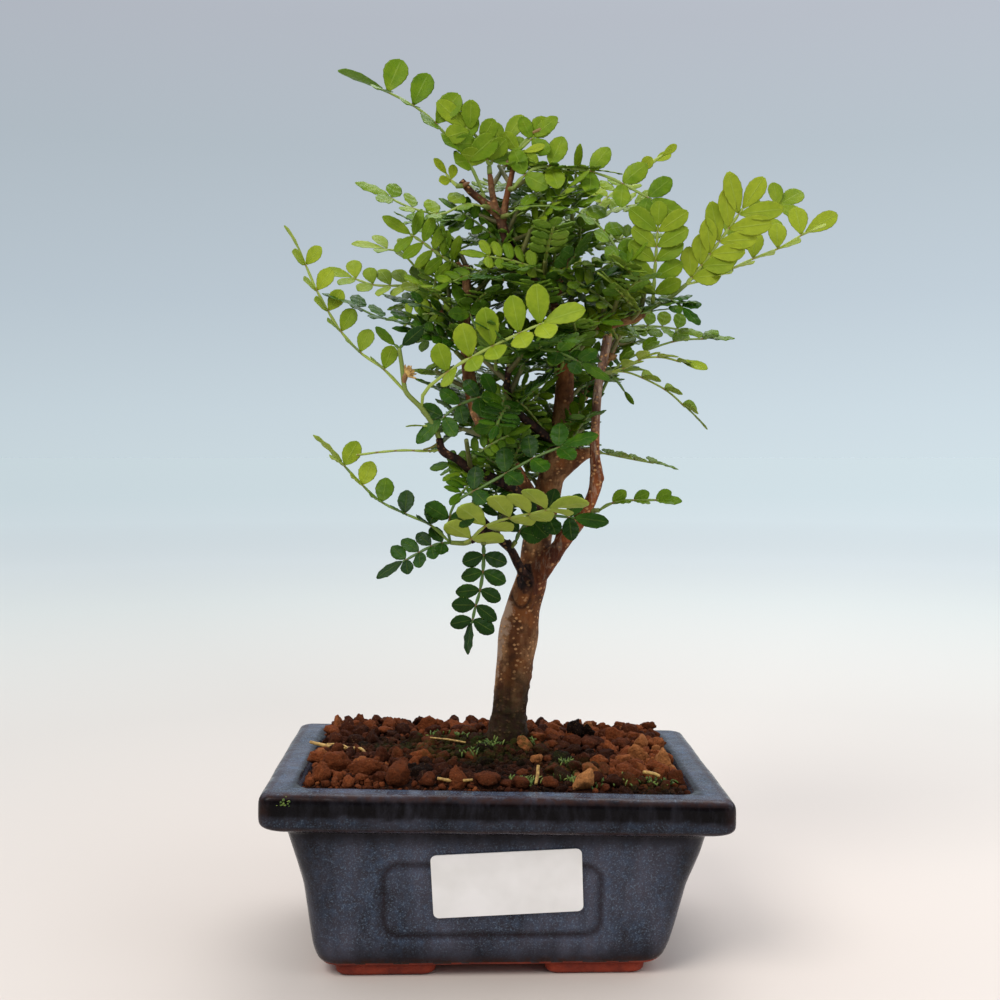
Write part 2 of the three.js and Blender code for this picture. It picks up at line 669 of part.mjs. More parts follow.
function meshPocket(x) {
  const size = MESH_SIZE + 2 * GAP;
  const pocket = new THREE.BoxGeometry(size, size, 2 * (MESH_THICKNESS + GAP));
  pocket.translate(x, 0, SOIL_BOTTOM);
  return toSolid(pocket);
}

// Height of the soil between its grains. It is level with the rim at its edges.
function soilLevel(x, y) {
  const edgeX = RIM_LENGTH / 2 - SOIL_EDGE.inset - Math.abs(x);
  const edgeY = RIM_DEPTH / 2 - SOIL_EDGE.inset - Math.abs(y);
  const inward = THREE.MathUtils.smoothstep(Math.min(edgeX, edgeY), SOIL_EDGE.from, SOIL_EDGE.to);
  const rise = SOIL_RISE + SOIL_SLOPE * (y + RIM_DEPTH / 2);
  const away = ((x - TRUNK_FOOT[0]) / HEAP.reachX) ** 2 + ((y - TRUNK_FOOT[1]) / HEAP.reachY) ** 2;
  const heap = HEAP.height * Math.exp(-away);
  return POT_HEIGHT - SOIL_EDGE.sink + rimLift(x, POT_HEIGHT) + inward * (rise + heap);
}

function soil(trunkHole) {
  const across = Math.ceil(RIM_LENGTH / NET_STEP);
  const rows = Math.ceil(RIM_DEPTH / ROW_STEP);
  const shell = new Shell();
  const top = [];
  const bottom = [];
  for (let j = 0; j < rows; j++) {
    for (let i = 0; i < across; i++) {
      const n = i + 97 * j; // a different number for each grain
      const shiftX = j % 2 ? NET_STEP / 2 : 0;
      const x = (i - across / 2) * NET_STEP + shiftX + GRAIN_SHIFT * (wobble(n) - 0.5);
      const y = (j - rows / 2) * ROW_STEP + GRAIN_SHIFT * (wobble(n + 0.5) - 0.5);
      const peak = (i + Math.floor(j / 2) + 2 * (j % 2) + 2 * j) % 3 === 0;
      const grain = peak ? GRAIN_HEIGHT * (0.7 + 0.6 * wobble(n + 0.25)) : 0;
      top.push(shell.add(new THREE.Vector3(x, y, soilLevel(x, y) + grain)));
      bottom.push(shell.add(new THREE.Vector3(x, y, 0)));
    }
  }
  for (let j = 0; j < rows - 1; j++) {
    for (let i = 0; i < across - 1; i++) {
      const a = i + across * j;
      const b = a + across;
      const cells = j % 2 ? [[a, a + 1, b + 1], [a, b + 1, b]] : [[a, a + 1, b], [a + 1, b + 1, b]];
      for (const [p, q, r] of cells) {
        shell.triangle(top[p], top[q], top[r]);
        shell.triangle(bottom[p], bottom[r], bottom[q]);
      }
    }
  }
  const last = (rows - 1) * across;
  for (let i = 0; i < across - 1; i++) {
    shell.quad(bottom[i], bottom[i + 1], top[i + 1], top[i]);
    shell.quad(top[last + i], top[last + i + 1], bottom[last + i + 1], bottom[last + i]);
  }
  for (let j = 0; j < rows - 1; j++) {
    const near = j * across;
    const far = near + across;
    shell.quad(top[near], top[far], bottom[far], bottom[near]);
    const nearEnd = near + across - 1;
    const farEnd = far + across - 1;
    shell.quad(bottom[nearEnd], bottom[farEnd], top[farEnd], top[nearEnd]);
  }
  const walls = POT_INSIDE.slice(2, -1).reverse();
  const [, ...floor] = POT_INSIDE[POT_INSIDE.length - 1];
  const [, ...lip] = walls[walls.length - 1];
  const cavity = potWall([[SOIL_BOTTOM, ...floor], ...walls, [SOIL_TOP, ...lip]], -GAP);
  let ground = shell.solid().intersect(cavity);
  for (const x of [-DRAIN_X, DRAIN_X]) ground = ground.subtract(meshPocket(x));
  return biggestBody(ground.subtract(trunkHole));
}

// Wood

function smoothCurve(points) {
  return new THREE.CatmullRomCurve3(points.map(vec), false, "catmullrom", 0.5);
}

// Direction of a curve at u, from points a hundredth to either side.
function directionAt(curve, u) {
  const ahead = curve.getPoint(Math.min(u + 0.01, 1));
  return ahead.sub(curve.getPoint(Math.max(u - 0.01, 0))).normalize();
}

// Tube through points [x, y, z, radius], with flat ends.
function tube(points, sides, steps, extra) {
  const curve = smoothCurve(points);
  const girth = smoothCurve(points.map((p) => [p[3], 0, 0]));
  const rings = [];
  let up = new THREE.Vector3(0, -1, 0.2);
  for (let step = 0; step <= steps; step++) {
    const u = step / steps;
    const along = directionAt(curve, u);
    up = up.clone().addScaledVector(along, -up.dot(along)).normalize();
    const side = along.clone().cross(up);
    const radius = girth.getPoint(u).x + extra;
    const centre = curve.getPoint(u);
    if (step === 0) centre.addScaledVector(along, -extra);
    if (step === steps) centre.addScaledVector(along, extra);
    const ring = [];
    for (let i = 0; i < sides; i++) {
      const angle = (-2 * Math.PI * i) / sides;
      const spoke = up.clone().multiplyScalar(Math.cos(angle)).addScaledVector(side, Math.sin(angle));
      ring.push(centre.clone().addScaledVector(spoke, radius));
    }
    rings.push(ring);
  }
  return loft(rings);
}

const limbPoints = new Map(LIMBS.map(([name, points]) => [name, points.map(fromView)]));

const pointOnLimb = (name, u) => smoothCurve(limbPoints.get(name)).getPoint(u).toArray();

function trunkTube(extra) {
  const points = limbPoints.get("trunk");
  return tube(points, TRUNK_SIDES, points.length - 1, extra);
}

function wood(extra) {
  const parts = [trunkTube(extra)];
  for (const [name, points] of limbPoints) {
    if (name !== "trunk") parts.push(tube(points, LIMB_SIDES, points.length - 1, extra));
  }
  for (const stub of STUBS) parts.push(tube(stub.map(fromView), TWIG_SIDES, stub.length - 1, extra));
  return joined(parts);
}

// Leaves

// Frame of a leaf's rib at u. At a tilt of 0 the leaf faces the front, at 90 degrees it faces up.
function ribFrame(leaf, u) {
  const along = directionAt(leaf.curve, u);
  const facing = new THREE.Vector3(0, -Math.cos(leaf.tilt), Math.sin(leaf.tilt));
  const up = facing.addScaledVector(along, -facing.dot(along)).normalize();
  const side = along.clone().cross(up);
  return { point: leaf.curve.getPoint(u), along, up, side };
}

// Four corners of a blade's section, clockwise when seen from the blade's tip.
function section(centre, across, up, halfWidth, halfThick) {
  return [[-1, 1], [1, 1], [1, -1], [-1, -1]].map(([a, b]) => {
    const corner = centre.clone().addScaledVector(across, a * halfWidth);
    return corner.addScaledVector(up, b * halfThick);
  });
}

// Frame of a leaflet that leaves the rib at u to the given side: 1, -1, or 0 for the one at the tip.
function leafletFrame(leaf, u, side) {
  const rib = ribFrame(leaf, u);
  if (side === 0) {
    const across = rib.side.clone().negate().applyAxisAngle(rib.along, leaf.roll);
    const up = rib.up.clone().applyAxisAngle(rib.along, leaf.roll);
    return { root: rib.point, ahead: rib.along, across, up, length: leaf.tip * leaf.leaflet };
  }
  const ahead = rib.side.clone().multiplyScalar(side * Math.cos(leaf.lean));
  ahead.addScaledVector(rib.along, Math.sin(leaf.lean));
  ahead.multiplyScalar(Math.cos(leaf.fold)).addScaledVector(rib.up, Math.sin(leaf.fold));
  const across = rib.along.clone().addScaledVector(ahead, -rib.along.dot(ahead)).normalize();
  const up = ahead.clone().cross(across).multiplyScalar(side);
  const root = rib.point.clone().addScaledVector(rib.side, (side * RIB_WIDTH) / 2);
  const length = leaf.leaflet * (1 + leaf.grow * (u - GROW_MIDDLE));
  return { root, ahead, across: across.multiplyScalar(side), up, length };
}

// Sections of a leaflet past its root, widest past the middle, drooping at the tip.
function leafletSections(leaf, frame, thickness) {
  return leaf.outline.map(([reach, width]) => {
    const centre = frame.root.clone().addScaledVector(frame.ahead, reach * frame.length);
    centre.addScaledVector(frame.up, -LEAFLET_DROOP * frame.length * reach * reach);
    return section(centre, frame.across, frame.up, (width * leaf.width) / 2, thickness / 2);
  });
}

function leafletSolid(leaf, u, side, thickness) {
  const frame = leafletFrame(leaf, u, side);
  const start = frame.root.clone().addScaledVector(frame.ahead, side === 0 ? GAP : 2 * GAP);
  const first = section(start, frame.across, frame.up, leaf.base / 2, thickness / 2);
  return loft([first, ...leafletSections(leaf, frame, thickness)]);
}

// Path, size and leaflet places of one compound leaf.
function planLeaf(points, pairs, leaflet, tilt, young, shape = {}) {
  const { fold = LEAFLET_FOLD, tip = TIP_LENGTH, grow = 0, roll = 0 } = shape;
  const broad = (shape.width ?? LEAFLET_WIDTH) * leaflet;
  const curve = smoothCurve(points);
  const length = curve.getLength();
  const first = pairs > 1 ? (shape.first ?? FIRST_PAIR) : ONLY_PAIR;
  const last = 1 - (END_ROOM * leaflet) / length;
  const spacing = pairs > 1 ? ((last - first) * length) / (pairs - 1) : broad;
  const width = Math.min(broad, LEAFLET_ROOM * spacing);
  const leaf = { curve, length, leaflet, tip, grow, width, base: LEAFLET_BASE * width };
  leaf.tilt = THREE.MathUtils.degToRad(tilt);
  leaf.fold = THREE.MathUtils.degToRad(fold);
  leaf.roll = THREE.MathUtils.degToRad(roll);
  leaf.lean = shape.lean ?? (young ? YOUNG_LEAN : OLD_LEAN);
  leaf.outline = young ? YOUNG_OUTLINE : OLD_OUTLINE;
  leaf.places = [];
  for (let i = 0; i < pairs; i++) {
    const u = pairs > 1 ? first + ((last - first) * i) / (pairs - 1) : first;
    leaf.places.push({ u, side: -1, kept: true }, { u, side: 1, kept: true });
  }
  leaf.places.push({ u: 1, side: 0, kept: true });
  leaf.halfBase = leaf.base / 2 / length;
  leaf.stations = [0];
  for (let i = 0; i < pairs; i++) {
    const u = leaf.places[2 * i].u;
    leaf.stations.push(u - leaf.halfBase, u + leaf.halfBase);
  }
  leaf.stations.push(1);
  return leaf;
}

// Section of the rib: flat on top, with a keel below.
function ribSection(leaf, u, extra) {
  const { point, side, up } = ribFrame(leaf, u);
  const halfWidth = (RIB_WIDTH * (1 - RIB_TAPER * u)) / 2 + extra;
  const top = point.clone().addScaledVector(up, BLADE / 2 + extra);
  const keel = point.clone().addScaledVector(up, BLADE / 2 - RIB_THICKNESS - extra);
  return [top.clone().addScaledVector(side, halfWidth), top.clone().addScaledVector(side, -halfWidth), keel];
}

const ribSolid = (leaf, extra) => loft(leaf.stations.map((u) => ribSection(leaf, u, extra)));

// One closed blade: the rib with its leaflets grown out of its sides and its tip.
function leafSolid(leaf) {
  const shell = new Shell();
  const rows = leaf.stations.map((u) => ribSection(leaf, u, 0).map((point) => shell.add(point)));
  const grow = (base, place) => {
    const frame = leafletFrame(leaf, place.u, place.side);
    let ring = base;
    for (const corners of leafletSections(leaf, frame, BLADE)) {
      const pointed = corners[0].distanceTo(corners[1]) < 1e-6;
      const next = corners.map((point) => shell.add(point));
      if (pointed) {
        next[1] = next[0];
        next[2] = next[3];
      }
      shell.band(ring, next);
      ring = next;
    }
    shell.cap(ring, true);
  };
  shell.cap(rows[0], false);
  rows.slice(1).forEach((far, i) => {
    const near = rows[i];
    const open = [];
    if (i % 2 === 1) {
      const [left, right] = leaf.places.slice(i - 1, i + 1);
      if (left.kept) {
        open.push(1);
        grow([far[1], near[1], near[2], far[2]], left);
      }
      if (right.kept) {
        open.push(2);
        grow([near[0], far[0], far[2], near[2]], right);
      }
    }
    shell.band(near, far, open);
  });
  const tip = rows[rows.length - 1];
  const last = leaf.places[leaf.places.length - 1];
  if (last.kept) grow([tip[0], tip[1], tip[2], tip[2]], last);
  else shell.cap(tip, true);
  return shell.solid();
}

// Spray from the table: a twig that grows out of a limb, and its leaves.
function planSpray([name, limb, u, twig, leaves]) {
  const stem = [pointOnLimb(limb, u), ...twig.map(fromView)];
  return {
    name,
    stem,
    tone: leaves[0][4],
    leaves: leaves.map(([start, pairs, leaflet, tilt, tone, rib, shape]) =>
      planLeaf([stem[start], ...rib.map(fromView)], pairs, leaflet, tilt, tone >= YOUNG_TONE, shape),
    ),
  };
}

// Bushy spray inside or behind the crown: its leaves stand round the twig by the golden angle.
function planBush([name, limb, u, aim, reach, count, pairs, leaflet, tone]) {
  const root = vec(pointOnLimb(limb, u));
  const ahead = vec(aim).normalize();
  const cross = new THREE.Vector3(0, 0, 1).cross(ahead).normalize();
  const lift = ahead.clone().cross(cross);
  const stem = [0, 1, 2, 3].map((k) => {
    const point = root.clone().addScaledVector(ahead, (reach * k) / 3);
    point.z += BUSH.twigLift * k * k;
    return point.toArray();
  });
  const leaves = [];
  for (let i = 0; i < count; i++) {
    const n = 40 * u + 7 * i + reach; // a different number for each leaf
    const isTip = i === count - 1;
    const turn = i * GOLDEN_ANGLE + wobble(n);
    const open = isTip ? BUSH.tipOpen : BUSH.open + BUSH.openSpread * wobble(n + 1);
    const out = ahead.clone().multiplyScalar(Math.cos(open));
    out.addScaledVector(cross, Math.sin(open) * Math.cos(turn));
    out.addScaledVector(lift, Math.sin(open) * Math.sin(turn));
    const length = pairs * leaflet * (BUSH.pairRoom + BUSH.lengthSpread * wobble(n + 2));
    const start = isTip ? 3 : 1 + (i % 2);
    const points = [0, 1, 2, 3].map((k) => {
      const point = vec(stem[start]).addScaledVector(out, (length * k) / 3);
      point.z -= BUSH.sag * length * k * k;
      return point.toArray();
    });
    const tilt = BUSH.tilt + BUSH.tiltSpread * (wobble(n + 3) - 0.5);
    leaves.push(planLeaf(points, pairs, leaflet, tilt, false));
  }
  return { name, stem, tone, leaves };
}

// Tells whether a solid meets any of the earlier ones that stand near it.
function meets(solid, others) {
  const box = solid.boundingBox();
  return others.some((other) => {
    const apart = [0, 1, 2].some((k) => box.min[k] > other.box.max[k] || box.max[k] < other.box.min[k]);
    return !apart && solid.intersect(other.solid).volume() > 1e-5;
  });
}

const asObstacle = (solid, spray) => ({ solid, spray, box: solid.boundingBox() });

function twigTube(stem, extra) {
  const points = stem.map((p, i) => [...p, TWIG_RADIUS * (1 - TWIG_TAPER * (i / stem.length))]);
  return tube(points, TWIG_SIDES, stem.length - 1, extra);
}

// Leaves out every leaflet that would touch another spray, the wood or a leaflet placed before it.
function clearLeaflets(sprays, woodRoom) {
  const stems = [];
  for (const spray of sprays) {
    stems.push(asObstacle(twigTube(spray.stem, GAP), spray));
    for (const leaf of spray.leaves) stems.push(asObstacle(ribSolid(leaf, GAP), spray));
  }
  const placed = [asObstacle(woodRoom, null)];
  for (const spray of sprays) {
    const foreign = stems.filter((stem) => stem.spray !== spray);
    for (const leaf of spray.leaves) {
      for (const place of leaf.places) {
        const room = leafletSolid(leaf, place.u, place.side, BLADE + 2 * GAP);
        place.kept = !meets(room, foreign) && !meets(room, placed);
        if (place.kept) placed.push(asObstacle(leafletSolid(leaf, place.u, place.side, BLADE), spray));
      }
    }
  }
}

function spraySolid(spray, woodRoom) {
  const parts = [twigTube(spray.stem, 0), ...spray.leaves.map(leafSolid)];
  return biggestBody(joined(parts).subtract(woodRoom));
}

// Assembly

const bonsai = new THREE.Group();
bonsai.name = "chinese_pepper_bonsai";

function place(name, solid, colour, roughness) {
  const material = new THREE.MeshStandardMaterial({ color: colour, roughness, metalness: 0 });
  const mesh = new THREE.Mesh(toGeometry(solid), material);
  mesh.name = name;
  bonsai.add(mesh);
}

const OLD_LEAF = new THREE.Color(0x1f4a24);
const YOUNG_LEAF = new THREE.Color(0x8dae42);

place("pot", pot(), 0x2d3c55, 0.25);
place("label", label(), 0xf0eeea, 0.6);
place("drain_mesh_left", drainMesh(-DRAIN_X), 0x22282a, 0.5);
place("drain_mesh_right", drainMesh(DRAIN_X), 0x22282a, 0.5);
place("soil", soil(trunkTube(GAP)), 0x4a2c1e, 0.95);
place("wood", wood(0), 0x5d4a3a, 0.85);

const woodRoom = wood(GAP);
const sprays = [...SPRAYS.map(planSpray), ...BUSHES.map(planBush)];
clearLeaflets(sprays, woodRoom);
for (const spray of sprays) {
  const colour = OLD_LEAF.clone().lerp(YOUNG_LEAF, spray.tone);
  place(spray.name, spraySolid(spray, woodRoom), colour, 0.7 - 0.3 * (1 - spray.tone));
}

// The origin is under the middle of the whole bonsai, on the surface that it stands on.
const reach = new THREE.Box3().setFromObject(bonsai).getCenter(new THREE.Vector3());
bonsai.position.set(-reach.x, -reach.y, 0);

export default bonsai;
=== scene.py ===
"""Looks of a Chinese pepper bonsai: pot glaze, grainy soil, bark and every leaf of the tree.

Lengths are in millimetres round the middle of the pot's footprint until Piece.build turns them into
metres of the model's frame.
"""
import math
import random
import bmesh
import bpy
from mathutils import Matrix, Vector, kdtree, noise


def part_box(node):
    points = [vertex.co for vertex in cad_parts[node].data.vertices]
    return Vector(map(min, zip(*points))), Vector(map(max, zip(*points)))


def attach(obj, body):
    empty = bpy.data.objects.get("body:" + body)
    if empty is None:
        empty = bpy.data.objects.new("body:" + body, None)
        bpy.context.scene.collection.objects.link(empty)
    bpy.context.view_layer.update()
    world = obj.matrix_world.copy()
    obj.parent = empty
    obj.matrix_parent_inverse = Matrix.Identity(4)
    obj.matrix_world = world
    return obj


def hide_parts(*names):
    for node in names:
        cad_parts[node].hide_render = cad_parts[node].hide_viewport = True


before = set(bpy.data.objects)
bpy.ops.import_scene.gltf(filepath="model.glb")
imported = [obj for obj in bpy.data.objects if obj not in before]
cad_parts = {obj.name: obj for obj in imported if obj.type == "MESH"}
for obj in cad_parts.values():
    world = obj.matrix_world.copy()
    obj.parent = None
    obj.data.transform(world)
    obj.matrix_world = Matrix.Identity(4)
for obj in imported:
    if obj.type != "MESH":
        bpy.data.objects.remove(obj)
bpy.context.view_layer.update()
MM = 0.001
POT_LOW, POT_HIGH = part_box("pot")
SHIFT_X = (POT_LOW[0] + POT_HIGH[0]) / 2
SHIFT_Y = (POT_LOW[1] + POT_HIGH[1]) / 2

# Measures that the solids have too, and where the photograph's camera stood
RIM_LENGTH = 131.5
RIM_DEPTH = 95
POT_HEIGHT = 55
FOOT_HEIGHT = 3.6
FLOOR_TOP = 9
GAP = 0.3
TWIG_RADIUS = 0.85
TWIG_TAPER = 0.3
RIB_WIDTH = 1.2
RIB_TAPER = 0.3
YOUNG_TONE = 0.7
LEAFLET_FOLD = 14
LEAFLET_DROOP = 0.09
LEAFLET_WIDTH = 0.7
TIP_LENGTH = 1.35
FIRST_PAIR = 0.2
ONLY_PAIR = 0.45
GROW_MIDDLE = 0.6
END_ROOM = 0.16
GOLDEN_ANGLE = 2.4
VIEW_POINT = (-9.1, -398.4, 149.7)
VIEW_PLANE = 5

# The tree's tables give x and z as they look in the upright plane at VIEW_PLANE, seen from VIEW_POINT.

# Limbs: name, then points x, y, z and radius
LIMBS = [
    ["trunk", [[3.6, 6, 30, 5], [3.6, 6, 52, 6.6], [4.2, 6, 61, 6.3], [4.8, 6, 70, 5.4],
        [6.2, 6, 82, 5.6], [7.5, 6, 93, 6.1], [8.7, 6, 100, 5.6], [10.8, 6, 107, 5.1],
        [12.3, 6, 114, 4.7], [13.4, 7, 123, 4.4], [15.6, 8, 133, 4.3], [18, 8, 143, 4], [20, 9, 152, 3.3],
        [21.3, 10, 163, 3], [22, 10, 175, 2.7], [21.4, 10, 186, 2.3], [17.5, 9, 195, 2.1],
        [11, 9, 203, 1.9], [6, 8, 210, 1.8], [3.2, 8, 217, 1.6], [0.9, 8, 223.5, 1.4]]],
    ["left_limb", [[14.5, 7, 127, 2.8], [9, 6, 138, 2.9], [3, 5, 149, 2.8], [-2.5, 5, 157, 2.7],
        [-6.2, 6, 165, 2.4], [-8, 7, 174, 2], [-9, 8, 185, 1.7], [-8.5, 9, 197, 1.5],
        [-8.8, 10, 207, 1.3]]],
    ["red_branch", [[12.5, 4, 108, 2.2], [16.5, 2, 115, 2.7], [22, 1, 122.5, 2.4], [27, 0, 129, 2.2],
        [30.6, -1, 136, 1.9], [31.8, -1, 142, 2.1], [31.2, -1, 149, 1.6], [31.4, -1, 158, 1.45],
        [32, -1, 168, 1.4], [33.6, -1, 177, 1.4], [35.2, -1, 185.5, 1.55]]],
    ["low_left", [[11.5, 3, 108.5, 1.4], [8, -2, 113.5, 1.4], [5.2, -5, 119, 1.35], [2, -8, 122, 1.25],
        [-0.8, -10, 126.2, 1.2], [-3, -12, 124.5, 1.2], [-7.5, -14, 121.8, 1.1]]],
    ["mid_left", [[13.5, 5, 130, 1.8], [6, -2, 138, 1.7], [-3, -7, 142.5, 1.6], [-8, -9, 144.5, 1.5],
        [-11.5, -10, 147.3, 1.35], [-16, -11, 149.8, 1.25], [-17.2, -11, 154, 1.1]]],
    ["right_stub", [[18, 8, 141, 3], [23, 8, 146, 2.9], [27, 9, 148.5, 2.2], [30.5, 10, 149.5, 1.5]]],
    ["right_upper", [[21.5, 10, 180, 1.8], [29, 8, 186, 1.7], [37, 6, 189.3, 1.5], [43, 4, 190.6, 1.4],
        [46.5, 3, 192.6, 1.2]]],
    ["top_stub", [[1.4, 8, 222, 1.3], [-3, 7, 226.2, 1.3], [-7, 6, 229.3, 1.2], [-10.3, 5, 233, 1.15]]],
    ["top_mid", [[1, 8, 222, 1.2], [-0.6, 8, 229, 1.05], [-1.4, 8, 235, 0.9]]],
    ["top_right", [[2.4, 8, 219, 1.2], [3.8, 8.5, 228, 1.05], [5.2, 8.5, 234, 0.95], [6, 8.5, 238.5, 1]]],
    ["front_mid", [[19.5, 7, 151, 1.6], [13, 2, 157, 1.4], [7, -3, 162, 1.3], [4, -6, 169, 1.15],
        [4.5, -7, 176, 1]]],
    ["back_low", [[14.5, 9, 130, 2.2], [10, 18, 139, 1.9], [4, 27, 148, 1.6], [-3, 33, 157, 1.3]]],
    ["back_right", [[20.5, 11, 157, 2.1], [27, 20, 166, 1.8], [33, 28, 175, 1.5], [38, 33, 184, 1.2]]],
    ["back_top", [[21, 11, 183, 1.8], [19, 20, 194, 1.6], [21, 27, 205, 1.4], [25, 31, 215, 1.2]]],
    ["back_left", [[-8.6, 8, 181, 1.3], [-13, 16, 188, 1.2], [-18, 22, 195, 1.1]]],
]
# Cut and broken ends of wood: points x, y, z and radius
STUBS = [
    [[2.5, 4, 150, 1.2], [5.4, 3, 152.6, 1.1], [7, 2.5, 156, 0.9]],
    [[18, 2, 116.5, 1], [20.6, 1.5, 115.9, 0.6]],
    [[19, 2, 119, 1.2], [20.4, 3, 126.5, 0.8]],
    [[31.5, -1, 141, 1.2], [34.2, -1.6, 141.5, 0.8]],
    [[4, -7, 119.6, 1], [4.9, -8.2, 122, 0.8]],
    [[-1, -11, 125.8, 1], [-6.5, -13, 132.4, 0.8]],
    [[-9, 10, 203, 1.2], [-11.5, 8, 208, 1]],
]
